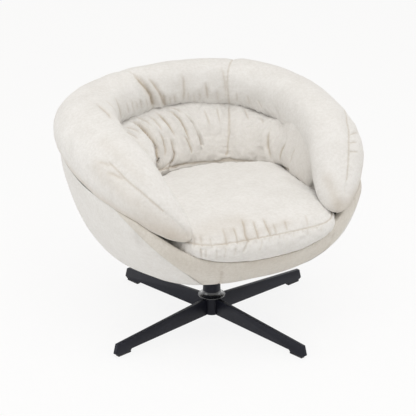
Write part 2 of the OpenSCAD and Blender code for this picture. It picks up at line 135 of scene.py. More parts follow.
def planRadius(angle, halfWidth, back, front, power):
    s = np.abs(sinD(angle)) / halfWidth
    c = np.abs(cosD(angle)) / np.where(cosD(angle) > 0, back, front)
    return (s ** power + c ** power) ** (-1 / power)


def halfWidthThrough(x, y, depth, power):
    return x / (1 - (y / depth) ** power) ** (1 / power)


def spun(angle, rz):
    r, z = np.broadcast_arrays(rz[0], rz[1])
    return np.stack([r * sinD(angle), r * cosD(angle), z + 0 * r], -1)


# Fat roll that makes the arms and the back
roll = {"halfWidth": 90, "halfHeight": 86, "tipX": 220, "tipY": 328, "backPower": 3, "frontPower": 1.9,
        "widths": (0.84, 0.92, 1, 0.97, 0.91, 0.95), "heights": (0.82, 0.86, 0.93, 1, 0.97, 0.85),
        "drops": (0, 0.06, 0.19, 0.36, 0.55, 1), "leans": (0.36, 0.32, 0.24, 0.18, 0.17, 0.17),
        "tipPower": 14, "seamRound": 45, "slackTop": 4, "slackFade": 8,
        "evenShare": 0.985, "leftShare": 0.015, "rows": 620, "tipRows": 12, "turnStep": 2.4}
tipAngle = 180 - math.degrees(math.atan(roll["tipX"] / roll["tipY"]))
rollCrest = body["height"] - roll["halfHeight"] * roll["heights"][0]


def rollShare(angle):
    return np.minimum(np.abs(angle) / tipAngle, almostOne)


def rollClose(angle):
    return np.sqrt(1 - rollShare(angle) ** roll["tipPower"])


def rollHalfWidth(angle):
    return roll["halfWidth"] * smoothCurve(roll["widths"], rollShare(angle)) * rollClose(angle)


def rollHalfHeight(angle):
    return roll["halfHeight"] * smoothCurve(roll["heights"], rollShare(angle)) * rollClose(angle)


def rollZ(angle):
    return between(rollCrest, tipZ, smoothCurve(roll["drops"], rollShare(angle)))


def rollLean(angle):
    return rollHalfHeight(angle) * smoothCurve(roll["leans"], rollShare(angle))


rollSide = body["width"] / 2 - math.hypot(float(rollHalfWidth(90)), float(rollLean(90)))
rollBack = body["depth"] / 2 - math.hypot(float(rollHalfWidth(0)), float(rollLean(0)))
rollFront = halfWidthThrough(roll["tipY"], roll["tipX"], rollSide, roll["frontPower"])


def rollRadius(angle):
    power = np.where(cosD(angle) > 0, roll["backPower"], roll["frontPower"])
    return planRadius(angle, rollSide, rollBack, rollFront, power)


def rollPoint(angle, turn, gap=0):
    return (rollRadius(angle) + (rollHalfWidth(angle) + gap) * cosD(turn) - rollLean(angle) * sinD(turn),
            rollZ(angle) + (rollHalfHeight(angle) + gap) * sinD(turn))


# The arms draw in to a corner, low on their inner side, and their underside lifts off the bowl
armTip = {"from": 0.72, "powerTop": 2.4, "powerFoot": 5.5, "turn": -130, "pullFrom": 0.86, "pullIn": 12.5,
          "pullDown": 18, "liftFrom": 0.79, "lowShare": 0.7, "narrow": 0.4}

# The back of the roll hangs over the top of the back cushion
rollLap = {"turn": 224, "half": 30, "wide": 68, "inward": 5, "down": 10}


def rollSkin(angle, turn, gap=0):
    share = rollShare(angle)
    close = np.minimum(np.maximum(share - armTip["from"], 0) / (1 - armTip["from"]), almostOne)
    low = ((1 + cosD(turn - armTip["turn"])) / 2) ** 2
    fit = np.sqrt(1 - close ** between(armTip["powerTop"], armTip["powerFoot"], low)) / rollClose(angle)
    drawn = smoothStep(portion(share, armTip["liftFrom"], 1))
    pull = portion(share, armTip["pullFrom"], 1) ** 2
    w = rollHalfWidth(angle) * fit * (1 - armTip["narrow"] * drawn * np.maximum(cosD(turn), 0)) + gap
    flat = np.where(sinD(turn) < 0, between(1, armTip["lowShare"], drawn), 1)
    h = rollHalfHeight(angle) * fit * flat + gap
    lap = np.exp(-((np.mod(turn, 360) - rollLap["turn"]) / rollLap["half"]) ** 2
                 - (angle / rollLap["wide"]) ** 4)
    return (rollRadius(angle) + w * cosD(turn) - rollLean(angle) * fit * sinD(turn)
            - armTip["pullIn"] * pull - rollLap["inward"] * lap,
            rollZ(angle) + h * sinD(turn) - armTip["pullDown"] * pull - rollLap["down"] * lap)


# Low bowl under the roll
bowl = {"lipY": 352, "lipPower": 2.2, "lipAngle": 126, "lipFall": 2.9, "bulge": 16, "bulgeAngle": 136,
        "bulgeHalf": 22, "bulgePower": 1.7, "floor": 105, "radii": (0.6, 0.58, 0.62, 0.85, 1), "rise": 1.4,
        "seam": 132, "seamShares": (1.13, 1.13, 1.12, 1.06, 0.87), "cover": 12, "shellIn": 22.4,
        "halvings": 16}
lipStart = [float(v) for v in rollPoint(bowl["lipAngle"], -roll["seamRound"], body["softGap"])]
lipSide = halfWidthThrough(lipStart[0] * float(sinD(bowl["lipAngle"])),
                           -lipStart[0] * float(cosD(bowl["lipAngle"])), bowl["lipY"], bowl["lipPower"])


def frontShare(angle):
    return np.maximum(0, (np.abs(angle) - bowl["lipAngle"]) / (180 - bowl["lipAngle"]))


def bowlEdge(angle):
    r, z = rollPoint(angle, -roll["seamRound"], body["softGap"])
    lip = np.abs(angle) > bowl["lipAngle"]
    fall = (1 - np.minimum(frontShare(angle), 1)) ** bowl["lipFall"]
    return (np.where(lip, planRadius(angle, lipSide, bowl["lipY"], bowl["lipY"], bowl["lipPower"]), r),
            np.where(lip, between(lipZ, lipStart[1], fall), z))


def edgeDip(angle):
    a = np.minimum(np.abs(angle), bowl["lipAngle"])
    p, q = rollPoint(a, -roll["seamRound"]), rollPoint(a, -1.5 * roll["seamRound"])
    return between(np.degrees(np.arctan((p[1] - q[1]) / (p[0] - q[0]))), 0, frontShare(angle))


def bowlPoint(angle, up, depth=0):
    edge = bowlEdge(angle)
    dip = 90 - up * (90 + edgeDip(angle))
    power = smoothCurve(bowl["radii"], np.abs(angle) / 180)
    out = bowl["bulge"] * hump(np.abs(angle) - bowl["bulgeAngle"], bowl["bulgeHalf"])
    return (between(bowl["floor"], edge[0], sinD(90 * up) ** power)
            + out * sinD(180 * up ** bowl["bulgePower"]) - depth * cosD(dip),
            between(bowlZ, edge[1], 1 - cosD(90 * up) ** bowl["rise"]) + depth * sinD(dip))


def seamLean(turn, up):
    a = wrapped(turn)
    s = bowl["seam"] * smoothCurve(bowl["seamShares"], up)
    far = np.sign(a) * (180 - (180 - np.abs(a)) * (180 - s) / (180 - bowl["seam"]))
    return np.where(np.abs(a) <= bowl["seam"], a * s / bowl["seam"], far)


# Share of the way up the bowl's inner wall that has the height z
def findUp(angle, z):
    low, high = np.zeros(np.shape(angle)), np.ones(np.shape(angle))
    for _ in range(bowl["halvings"]):
        mid = (low + high) / 2
        under = bowlPoint(angle, mid, bowl["shellIn"])[1] < z
        low, high = np.where(under, mid, low), np.where(under, high, mid)
    return (low + high) / 2


# Loose seat cushion with a sewn edge
cushion = {"width": 524, "backY": 140, "thick": 90, "crown": 16, "noseDrop": 34, "bulge": 20,
           "backPower": 1.8, "frontPower": 4.8, "foot": 12, "belly": 0.85, "crownPower": 0.7,
           "edgePower": 1.6, "footRise": 0.33, "rimRise": 0.35, "rimGap": 4.5, "squeeze": 13,
           "squeezeFrom": 40, "squeezeTo": 128, "squeezePower": 0.8, "noseSag": 11, "cornerSag": 9,
           "cornerAngle": 143, "cornerHalf": 15, "footRings": 10, "sideRings": 30, "topRings": 44,
           "firstRing": 0.2, "lastRing": 0.995, "turns": 300}
cushionZ = body["seatHeight"] - cushion["thick"]
cushionMidY = (cushion["backY"] - body["depth"] / 2) / 2


def noseShare(angle):
    return np.maximum(0, -cosD(angle)) ** 2


def cushionRadius(angle):
    power = np.where(cosD(angle) > 0, cushion["backPower"], cushion["frontPower"])
    arms = portion(np.abs(wrapped(angle)), cushion["squeezeFrom"], cushion["squeezeTo"])
    return (planRadius(angle, cushion["width"] / 2, cushion["backY"], body["depth"] / 2, power)
            - cushion["squeeze"] * np.sin(math.pi * arms) ** cushion["squeezePower"])


# The cushion stays clear of the bowl's lining and of its rim
def cushionRoom(angle, z):
    edge, rim = bowlEdge(angle), bowlPoint(angle, 1, bowl["shellIn"])
    tilt = (edge[1] - rim[1]) / (edge[0] - rim[0])
    inside = bowlPoint(angle, findUp(angle, z), bowl["shellIn"] + cushion["rimGap"])[0]
    above = rim[0] - cushion["rimGap"] + (z - rim[1]) / (tilt + cushion["rimRise"])
    return np.where(z < rim[1], inside, above)


def cushionSide(angle, up, gap=0):
    foot = cushionZ - cushion["noseSag"] * noseShare(angle) ** 2
    corner = hump(np.abs(wrapped(angle)) - cushion["cornerAngle"], cushion["cornerHalf"])
    top = body["seatHeight"] - cushion["noseDrop"] * noseShare(angle) - cushion["cornerSag"] * corner
    z = between(foot, top, up)
    belly = sinD(180 * up ** cushion["belly"])
    inset = between(cushion["foot"], 0, np.minimum(1, up / cushion["footRise"]))
    r = cushionRadius(angle) - cushion["bulge"] * (1 - belly) - inset + gap
    return np.minimum(r, cushionRoom(angle, z)), z


# Meshes, and the marks that sewing leaves on them
welding = {"doubles": 0.00005, "flat": 0.00001}


def meshFrom(name, points, faces):
    mesh = bpy.data.meshes.new(name)
    mesh.from_pydata([tuple(p) for p in np.asarray(points, float) / 1000], [], faces)
    tidy = bmesh.new()
    tidy.from_mesh(mesh)
    bmesh.ops.remove_doubles(tidy, verts=tidy.verts, dist=welding["doubles"])
    bmesh.ops.dissolve_degenerate(tidy, edges=tidy.edges, dist=welding["flat"])
    bmesh.ops.holes_fill(tidy, edges=tidy.edges, sides=0)
    bmesh.ops.recalc_face_normals(tidy, faces=tidy.faces)
    tidy.to_mesh(mesh)
    tidy.free()
    mesh.shade_smooth()
    return placed(name, mesh)


# Rows of points joined into a tube; ring joins the first and last rows too
def tubeFaces(rows, cols, ring=False):
    faces = []
    for i in range(rows if ring else rows - 1):
        n = (i + 1) % rows
        for j in range(cols):
            k = (j + 1) % cols
            faces.append((i * cols + j, n * cols + j, n * cols + k, i * cols + k))
    return faces


def vertexData(mesh, key):
    out = np.empty(len(mesh.vertices) * 3)
    mesh.vertices.foreach_get(key, out)
    return out.reshape(-1, 3)


def pointsOf(piece):
    return vertexData(piece.data, "co") * 1000


def normalsOf(piece):
    return vertexData(piece.data, "normal")


def setPoints(piece, co):
    piece.data.vertices.foreach_set("co", (co / 1000).ravel())
    piece.data.update()


def treeOf(piece):
    grid = bmesh.new()
    grid.from_mesh(piece.data)
    tree = BVHTree.FromBMesh(grid)
    grid.free()
    return tree


sight = {"jump": 0.05, "step": 0.0005}


# A line drawn in the view, dropped on the piece: its longest run without a jump
def seenLine(tree, marks):
    eye = Vector(viewpoint["place"])
    runs = [[]]
    for (x0, y0), (x1, y1) in zip(marks[:-1], marks[1:]):
        steps = max(2, int(math.hypot(x1 - x0, y1 - y0)))
        for k in range(steps + 1):
            spot = tree.ray_cast(eye, viewRay(between(x0, x1, k / steps), between(y0, y1, k / steps)))[0]
            if spot is None:
                continue
            away = (spot - runs[-1][-1]).length if runs[-1] else 1
            if runs[-1] and away > sight["jump"]:
                runs.append([])
            if away > sight["step"]:
                runs[-1].append(spot)
    return np.array(max(runs, key=len)).reshape(-1, 3) * 1000


# A line given in space, dropped on the nearest place of the piece
def laidLine(tree, points):
    return np.array([tree.find_nearest(Vector(p) / 1000)[0] for p in points]) * 1000


# Smooths a line in its place, with its ends held
def softened(line, rounds=3):
    for _ in range(rounds):
        if len(line) > 4:
            line[1:-1] = (line[:-2] + 2 * line[1:-1] + line[2:]) / 4
    return line


# Distance to a line, place along it and side of it, for the points within reach
def alongLine(co, normals, line, reach):
    near = np.where(((co > line.min(0) - reach) & (co < line.max(0) + reach)).all(1))[0]
    best = np.full(len(near), 1e9)
    run = np.zeros(len(near))
    side = np.zeros(len(near))
    arc = np.concatenate([[0], np.cumsum(np.linalg.norm(np.diff(line, axis=0), axis=1))])
    p, n = co[near], normals[near]
    for k in range(len(line) - 1):
        a, d = line[k], line[k + 1] - line[k]
        size = float(d @ d)
        if size < 1e-9:
            continue
        t = np.clip((p - a) @ d / size, 0, 1)
        off = p - a - t[:, None] * d
        dist = np.linalg.norm(off, axis=1)
        closer = dist < best
        best[closer] = dist[closer]
        run[closer] = arc[k] + t[closer] * math.sqrt(size)
        side[closer] = np.sign(np.einsum("ij,ij->i", np.cross(d, n[closer]), off[closer]))
    keep = best < reach
    return near[keep], best[keep], run[keep], side[keep], arc[-1]


# Uneven gathers along a seam, as (size, rate, shift) of each wave
rippleWaves = ((1, 1, 1), (0.7, 0.61, 1.7), (0.6, 1.63, 2.3))


def ripple(run, pitch, seed):
    s = run / pitch
    return sum(size * np.sin(2 * math.pi * (s * rate + shift * seed))
               for size, rate, shift in rippleWaves) / 2


# Shape of a crease, in shares of its width and depth, and of the painted shade in it
creaseForm = {"reach": 6, "fade": 0.35, "fineHalf": 0.5, "broadHalf": 2, "fine": 0.45, "broad": 0.55,
              "swellAt": 2.2, "swellHalf": 1.3, "paintedShadeHalf": 0.6, "paintedShade": 0.8, "broadPaintedShade": 0.25,
              "paintedShadeFullDepth": 6}
seamForm = {"reach": 3, "fade": 12, "otherPitch": 1.13, "otherSeed": 0.37, "gatherPower": 1.5}
veilReach = 2.2


class Cloth:
    # Rumples are a slow unevenness of stuffing and cloth, as (size, pitch, seed)
    def __init__(self, piece, rumples):
        self.piece = piece
        self.co = pointsOf(piece)
        self.normals = normalsOf(piece)
        self.tree = treeOf(piece)
        self.push = np.zeros(len(self.co))
        self.shade = np.zeros(len(self.co))
        for size, pitch, seed in rumples:
            shift = Vector((seed, 2.3 * seed, -1.7 * seed))
            self.push += size * np.array([noise.noise(Vector(p) / pitch + shift) for p in self.co])

    def seen(self, marks):
        return seenLine(self.tree, marks)

    def laid(self, points):
        return laidLine(self.tree, points)

    def along(self, line, reach):
        return alongLine(self.co, self.normals, line, reach)

    # Painted shade: each point keeps the darker of its shade and the new one
    def shadeOver(self, near, paintedShade):
        self.shade[near] = np.maximum(self.shade[near], paintedShade)

    # A crease: a valley with a swell beside it, fading towards its ends unless told to stay open. Painted
    # shade darkens the valley and its broad side.
    def crease(self, line, depth, width, swell=0.45, lean=0, openStart=False, openEnd=False):
        if len(line) < 3:
            return
        f = creaseForm
        near, dist, run, side, length = self.along(softened(line), width * f["reach"])
        end = max(1, f["fade"] * length)
        fade = 1 if openStart else np.minimum(1, run / end)
        fade = smoothStep(fade * (1 if openEnd else np.minimum(1, (length - run) / end)))
        fine = hump(dist, f["fineHalf"] * width)
        broad = hump(dist, f["broadHalf"] * width) * (1 - 0.5 * lean * side * np.minimum(1, dist / width))
        ridge = hump(dist - f["swellAt"] * width, f["swellHalf"] * width) * (1 + lean * side)
        self.push[near] += depth * fade * (swell * ridge - f["fine"] * fine - f["broad"] * broad)
        self.shadeOver(near, fade * min(1, depth / f["paintedShadeFullDepth"]) * (
            f["paintedShade"] * hump(dist, f["paintedShadeHalf"] * width) + f["broadPaintedShade"] * broad))

    # A sewn seam: a fine groove in a wide dip, with small gathers across it and painted shade along the
    # groove
    def seam(self, line, groove=2.2, width=2.4, dip=3, dipWidth=16, gather=0.9, pitch=14, seed=0.0,
             shade=0.55):
        if len(line) < 3:
            return
        f = seamForm
        near, dist, run, side, length = self.along(softened(line), dipWidth * f["reach"])
        fade = np.clip(np.minimum(run, length - run) / f["fade"], 0, 1)
        fine = hump(dist, width)
        self.push[near] -= fade * (groove * fine + dip * hump(dist, dipWidth))
        rows = np.where(side > 0, ripple(run, pitch, seed),
                        ripple(run, pitch * f["otherPitch"], seed + f["otherSeed"]))
        self.push[near] += fade * gather * rows * np.exp(-(dist / dipWidth) ** f["gatherPower"]) * (1 - fine)
        self.shadeOver(near, fade * shade * fine)

    # Folds along lines in the view, as (depth, width, line); those deeper than the limit stay open at the end
    def folds(self, rows, openOver):
        for depth, width, marks in rows:
            self.crease(self.seen(marks), depth, width, openEnd=depth > openOver)

    # Soft shades on both sides of lines in the view, where the cloth turns from the light
    def veils(self, rows):
        for reach, amount, marks in rows:
            line = self.seen(marks)
            if len(line) > 2:
                near, dist, _, _, _ = self.along(line, reach * veilReach)
                self.shade[near] += amount * hump(dist, reach)

    # Moves the cloth along its normals and keeps its painted shade as the foldShade attribute, which darkens
    # the fabric's colour
    def press(self):
        setPoints(self.piece, self.co + self.normals * self.push[:, None])
        mark = self.piece.data.attributes.new("foldShade", "FLOAT", "POINT")
        mark.data.foreach_set("value", self.shade.astype(np.float32))


# Cloth on one side of a line rises slowly towards it and hangs over the other side
def hungOver(piece, panel):
    co, normals = pointsOf(piece), normalsOf(piece)
    line = softened(seenLine(treeOf(piece), panel["line"]), panel["softRounds"])
    near, dist, run, side, length = alongLine(co, normals, line, panel["reach"])
    fade = (portion(run, 0, panel["fadeIn"] * length)
            * np.clip((length - run) / (panel["fadeOut"] * length), 0, 1) ** 0.5)
    fade = fade * (2 - fade)
    out = normals[near[side > 0]].mean(0)
    out /= np.linalg.norm(out)
    step = np.where(side > 0, panel["rise"] * (1 - dist / panel["reach"]) ** panel["risePower"],
                    -panel["drop"] * hump(dist, panel["dropReach"]))
    co[near] += out * (fade * step)[:, None]
    setPoints(piece, co)


# Stuffing: the skin is remeshed evenly and blown up against its pinned seams, by no more than a cap
stuffing = {"frames": 18, "pressure": 4.0, "quality": 4, "pinReach": 7, "mass": 0.3, "stretch": 15,
            "shear": 5, "bend": 0.4}


def stuffed(piece, pinned, voxel, cap, slack):
    even = piece.modifiers.new("even", "REMESH")
    even.mode = "VOXEL"
    even.voxel_size = voxel
    settled(piece)
    piece.data.shade_smooth()
    rest, normals = pointsOf(piece), normalsOf(piece)
    held = piece.vertex_groups.new(name="sewn")
    near = np.zeros(len(rest), bool)
    for line in pinned:
        near[alongLine(rest, normals, line, stuffing["pinReach"])[0]] = True
    held.add([int(i) for i in np.where(near)[0]], 1.0, "REPLACE")
    cloth = piece.modifiers.new("stuffing", "CLOTH")
    cloth.point_cache.frame_start, cloth.point_cache.frame_end = 1, stuffing["frames"]
    s = cloth.settings
    s.quality = stuffing["quality"]
    s.mass = stuffing["mass"]
    s.tension_stiffness = s.compression_stiffness = stuffing["stretch"]
    s.shear_stiffness = stuffing["shear"]
    s.bending_stiffness = stuffing["bend"]
    s.shrink_min = -slack
    s.use_pressure = True
    s.uniform_pressure_force = stuffing["pressure"]
    s.effector_weights.gravity = 0
    s.vertex_group_mass = "sewn"
    cloth.collision_settings.use_collision = False
    for n in range(1, stuffing["frames"] + 1):
        scene.frame_set(n)
    blown = piece.evaluated_get(bpy.context.evaluated_depsgraph_get())
    way = vertexData(blown.data, "co") * 1000 - rest
    length = np.linalg.norm(way, axis=1, keepdims=True)
    piece.modifiers.remove(cloth)
    piece.vertex_groups.clear()
    scene.frame_set(1)
    setPoints(piece, rest + way * np.minimum(1, cap / np.maximum(length, 1e-6)))
    finer = piece.modifiers.new("finer", "SUBSURF")
    finer.levels = finer.render_levels = 1
    settled(piece)
    piece.data.shade_smooth()


# Draws points back to an earlier surface by the share given for each
def drawnBack(piece, tree, share):
    co = pointsOf(piece)
    for i in np.where(share > 0.01)[0]:
        spot = np.array(tree.find_nearest(Vector(co[i]) / 1000)[0]) * 1000
        co[i] += (spot - co[i]) * share[i]
    setPoints(piece, co)


def angleOf(co):
    return np.degrees(np.arctan2(co[:, 0], co[:, 1]))


# Applies a piece's modifiers and leaves a plain mesh
def settled(piece):
    ready = bpy.data.meshes.new_from_object(piece.evaluated_get(bpy.context.evaluated_depsgraph_get()))
    piece.modifiers.clear()
    piece.data = ready
    return piece


def makeRoll():
    middle = np.linspace(-roll["evenShare"], roll["evenShare"], roll["rows"])
    close = 1 - roll["leftShare"] * np.linspace(1, 0, roll["tipRows"])[1:] ** 2
    shares = np.concatenate([-close[::-1], middle, close])
    turns = np.arange(0, 360, roll["turnStep"])
    angle, turn = np.meshgrid(tipAngle * shares, turns, indexing="ij")
    slack = roll["slackTop"] * np.minimum(1, roll["slackFade"] * (1 - rollShare(angle)))
    points = spun(angle, rollSkin(angle, turn, -slack * np.maximum(sinD(turn), 0))).reshape(-1, 3)
    return meshFrom("armBackRollCloth", points, tubeFaces(len(shares), len(turns)))


def rollTrack(marks, steps=40):
    marks = np.array(marks, float)
    t, k = np.linspace(0, 1, steps), np.linspace(0, 1, len(marks))
    angle, turn = np.interp(t, k, marks[:, 0]), np.interp(t, k, marks[:, 1])
    return spun(angle, rollSkin(angle, turn))


# Back seams are (angle round the chair, angle round the roll); the other lines are drawn in the view
rollSewing = {
    "stuffing": {"voxel": 0.0065, "cap": 6, "slack": 0.016},
    "rumples": ((3.0, 90, 1.0), (1.1, 34, 4.0)),
    "pinShare": 0.97, "footShare": 0.99, "firmFrom": 0.8, "firmOver": 0.1, "openOver": 4,
    "backSewing": {"dip": 4, "gather": 1.1}, "armSewing": {"dip": 3, "gather": 0.8}, "seedStep": 0.31,
    "behind": (-62, 66),
    "behindSewing": {"groove": 0, "width": 3, "dip": 2.5, "dipWidth": 26, "gather": 2.4, "pitch": 21,
                     "seed": 0.45, "shade": 0.25},
    "footShade": {"within": 60, "reach": 26, "amount": 0.5},
    # Painted shade on the arms' lower outer sides and at the right arm's tip, as (reach, amount, line in the
    # view)
    "veils": [
        (26, 0.24, [(96, 168), (112, 183), (132, 201), (152, 216), (172, 230)]),
        (20, 0.14, [(104, 142), (122, 160), (140, 178)]),
        (18, 0.3, [(326, 178), (332, 190), (337, 202)]),
    ],
    "backSeams": [
        [(36.5, -42), (36.5, 0), (36.5, 60), (36.3, 100), (36.6, 150), (36.8, 190), (36.6, 222)],
        [(-27, -42), (-26, 0), (-25, 60), (-25, 115), (-24, 145), (-22, 172), (-17, 203), (-16, 222)],
    ],
    "armSeams": [
        [(107, 160.7), (114.3, 167), (123, 176.4), (130, 183), (140, 190.7), (151.4, 200.7), (165.7, 213),
         (180, 225.7), (186.3, 233), (188.2, 240)],
        [(342.9, 103.6), (347, 116.4), (349.3, 130.7), (349.3, 142), (349.3, 152), (348.6, 166.4),
         (347, 183.6), (345, 197)],
    ],
    "folds": [
        (7, 7, [(132, 71), (140, 80), (147, 88), (152, 96), (154, 106)]),
        (5, 5, [(146, 75), (154, 84), (160, 93), (164, 104)]),
        (4.5, 5, [(163, 92), (164.5, 99), (165, 105)]),
        (3, 6, [(181, 71), (184, 80), (184.5, 92), (183, 103)]),
        (3.5, 5, [(205, 80), (207, 90), (208, 101)]),
        (2.5, 5, [(221, 64), (224, 76), (226, 88), (226, 101)]),
        (3, 5, [(113, 94), (118, 103), (121, 112), (122, 120)]),
        (3.5, 6, [(94, 102), (102, 108), (108, 114), (112, 121)]),
        (2.5, 4, [(104, 99), (112, 106), (117, 113)]),
        (2.2, 3, [(126, 101), (128, 107), (129, 115)]),
        (2.4, 3, [(131, 99), (133, 106), (134, 113)]),
        (2, 3, [(135, 100), (137, 105), (138, 111)]),
        (2.4, 3, [(139, 97), (141, 103), (142, 110)]),
        (2.4, 3, [(145, 96), (147, 102), (148, 108)]),
        (2.6, 3, [(148, 86), (150, 94), (152, 103)]),
        (2.2, 3, [(169, 95), (170, 100), (170, 105)]),
        (2, 3, [(187, 88), (188.5, 95), (188, 102)]),
        (2, 3, [(199, 92), (200, 97), (200, 103)]),
        (2, 3, [(236, 90), (237, 96), (237, 103)]),
        (2, 3, [(246, 93), (248, 99), (250, 106)]),
        (2, 3, [(256, 98), (260, 104), (263, 111)]),
        (2, 4, [(173, 93), (175, 99), (175, 104)]),
        (1.8, 4, [(193, 94), (195, 99), (195, 104)]),
        (2, 4, [(217, 90), (217.5, 96), (217.5, 103)]),
        (3, 3, [(345, 134), (350, 134.5), (358, 132)]),
        (3, 3, [(346, 141.5), (351, 142.5), (358, 142)]),
        (3, 3, [(347, 150.5), (352, 151.5), (359, 152)]),
        (2.5, 6, [(104, 172), (113, 173.5), (122, 178), (127, 182)]),
        (2, 5, [(96, 162), (104, 163), (112, 166)]),
        (1.5, 6, [(64, 161), (68, 168), (71, 176)]),
    ],
}


# A line round the chair that keeps one angle round the roll
def rollLine(angle, turn, skin=rollPoint):
    return spun(angle, skin(angle, turn))


def sewRoll(piece):
    s = rollSewing
    firm = treeOf(piece)
    cross = [seenLine(firm, marks) for marks in s["armSeams"]]
    around = np.linspace(-tipAngle * s["pinShare"], tipAngle * s["pinShare"], 200)
    cross += [rollLine(around, turn, rollSkin) for turn in (-roll["seamRound"], 180 + roll["seamRound"])]
    stuffed(piece, cross, **s["stuffing"])
    share = np.abs(angleOf(pointsOf(piece))) / tipAngle
    drawnBack(piece, firm, np.clip((share - s["firmFrom"]) / s["firmOver"], 0, 1))
    cloth = Cloth(piece, s["rumples"])
    seams = [cloth.laid(rollTrack(marks)) for marks in s["backSeams"]]
    seams += [cloth.seen(marks) for marks in s["armSeams"]]
    backs = len(s["backSeams"])
    for i, line in enumerate(seams):
        cloth.seam(line, seed=s["seedStep"] * i, **s["backSewing" if i < backs else "armSewing"])
    behind = np.linspace(*s["behind"], 150)
    cloth.seam(cloth.laid(rollLine(behind, 180 + roll["seamRound"])), **s["behindSewing"])
    # Painted shade along the foot of the roll, where it meets the bowl cover
    around = np.linspace(-tipAngle * s["footShare"], tipAngle * s["footShare"], 240)
    under = s["footShade"]
    foot = cloth.laid(rollLine(around, -roll["seamRound"], rollSkin))
    near, dist, _, _, _ = cloth.along(foot, under["within"])
    cloth.shade[near] = under["amount"] * hump(dist, under["reach"])
    cloth.folds(s["folds"], s["openOver"])
    cloth.veils(s["veils"])
    cloth.press()
    return seams[backs:]


# Back cushion between the roll and the seat cushion
pad = {"endAngle": 124, "closeAngle": 100, "closeGap": 14, "gap": 2.6, "topShare": 0.93, "swell": 34,
       "swellPower": 0.58, "wallSteps": 12, "underTurns": (-90, -101, -112.5, -124), "faceSteps": 70,
       "sideSteps": 12, "rows": 480, "roundEnd": 5, "tipKeep": 0.02, "pinned": (-36, -12, 12, 38, 60),
       "mergeFrom": 60, "mergeTo": 96, "mergeTurn": 158, "mergeGap": -2, "mergeSwell": 0.25, "pullTurn": 4}
padFace = pad["wallSteps"] + 1 + len(pad["underTurns"])  # place in a row where the face starts


def padRow(angle):
    low = findUp(angle, cushionZ)
    far = np.maximum(0, np.abs(angle) - pad["closeAngle"]) / (pad["endAngle"] - pad["closeAngle"])
    gap = bowl["shellIn"] + pad["gap"] + pad["closeGap"] * far ** 2
    row = [bowlPoint(angle, between(low, pad["topShare"], k / pad["wallSteps"]), gap)
           for k in range(pad["wallSteps"] + 1)]
    row += [rollPoint(angle, r, body["softGap"]) for r in pad["underTurns"]]
    lip = cushionSide(angle, 1, body["softGap"])
    merge = smoothStep(portion(np.abs(angle), pad["mergeFrom"], pad["mergeTo"]))
    turn = between(180 + roll["seamRound"], pad["mergeTurn"], merge)
    seam, after = (rollPoint(angle, turn + more, between(body["softGap"], pad["mergeGap"], merge))
                   for more in (0, pad["pullTurn"]))
    run = np.hypot(seam[0] - lip[0], seam[1] - lip[1])
    out = ((lip[1] - seam[1]) / run, (seam[0] - lip[0]) / run)
    step = np.hypot(after[0] - seam[0], after[1] - seam[1])
    pull = [run * (after[i] - seam[i]) / step for i in (0, 1)]
    for k in range(pad["faceSteps"] + 1):
        t = k / (pad["faceSteps"] + 1)
        swell = pad["swell"] * sinD(180 * t) ** pad["swellPower"]
        bent = [(1 - t) ** 2 * (1 + 2 * t) * seam[i] + t * (1 - t) ** 2 * pull[i] + smoothStep(t) * lip[i]
                + pad["mergeSwell"] * swell * out[i] for i in (0, 1)]
        full = [between(seam[i], lip[i], t) + out[i] * swell for i in (0, 1)]
        row.append(tuple(between(full[i], bent[i], merge) for i in (0, 1)))
    row += [cushionSide(angle, k / pad["sideSteps"], body["softGap"])
            for k in range(pad["sideSteps"], -1, -1)]
    return np.stack([spun(angle, p) for p in row], -2)


def padTrack(angle):
    return padRow(np.array([angle]))[0][padFace:padFace + pad["faceSteps"]]


def makePad():
    turns = np.linspace(-pad["endAngle"], pad["endAngle"], pad["rows"])
    points = padRow(turns)
    middle = points.mean(1, keepdims=True)
    left = np.clip((pad["endAngle"] - np.abs(turns)) / pad["roundEnd"], 0, 1)
    keep = between(pad["tipKeep"], 1, np.sqrt(1 - (1 - left) ** 2)[:, None, None])
    points = middle + (points - middle) * keep
    return meshFrom("backCushionCloth", points.reshape(-1, 3), tubeFaces(len(turns), points.shape[1]))


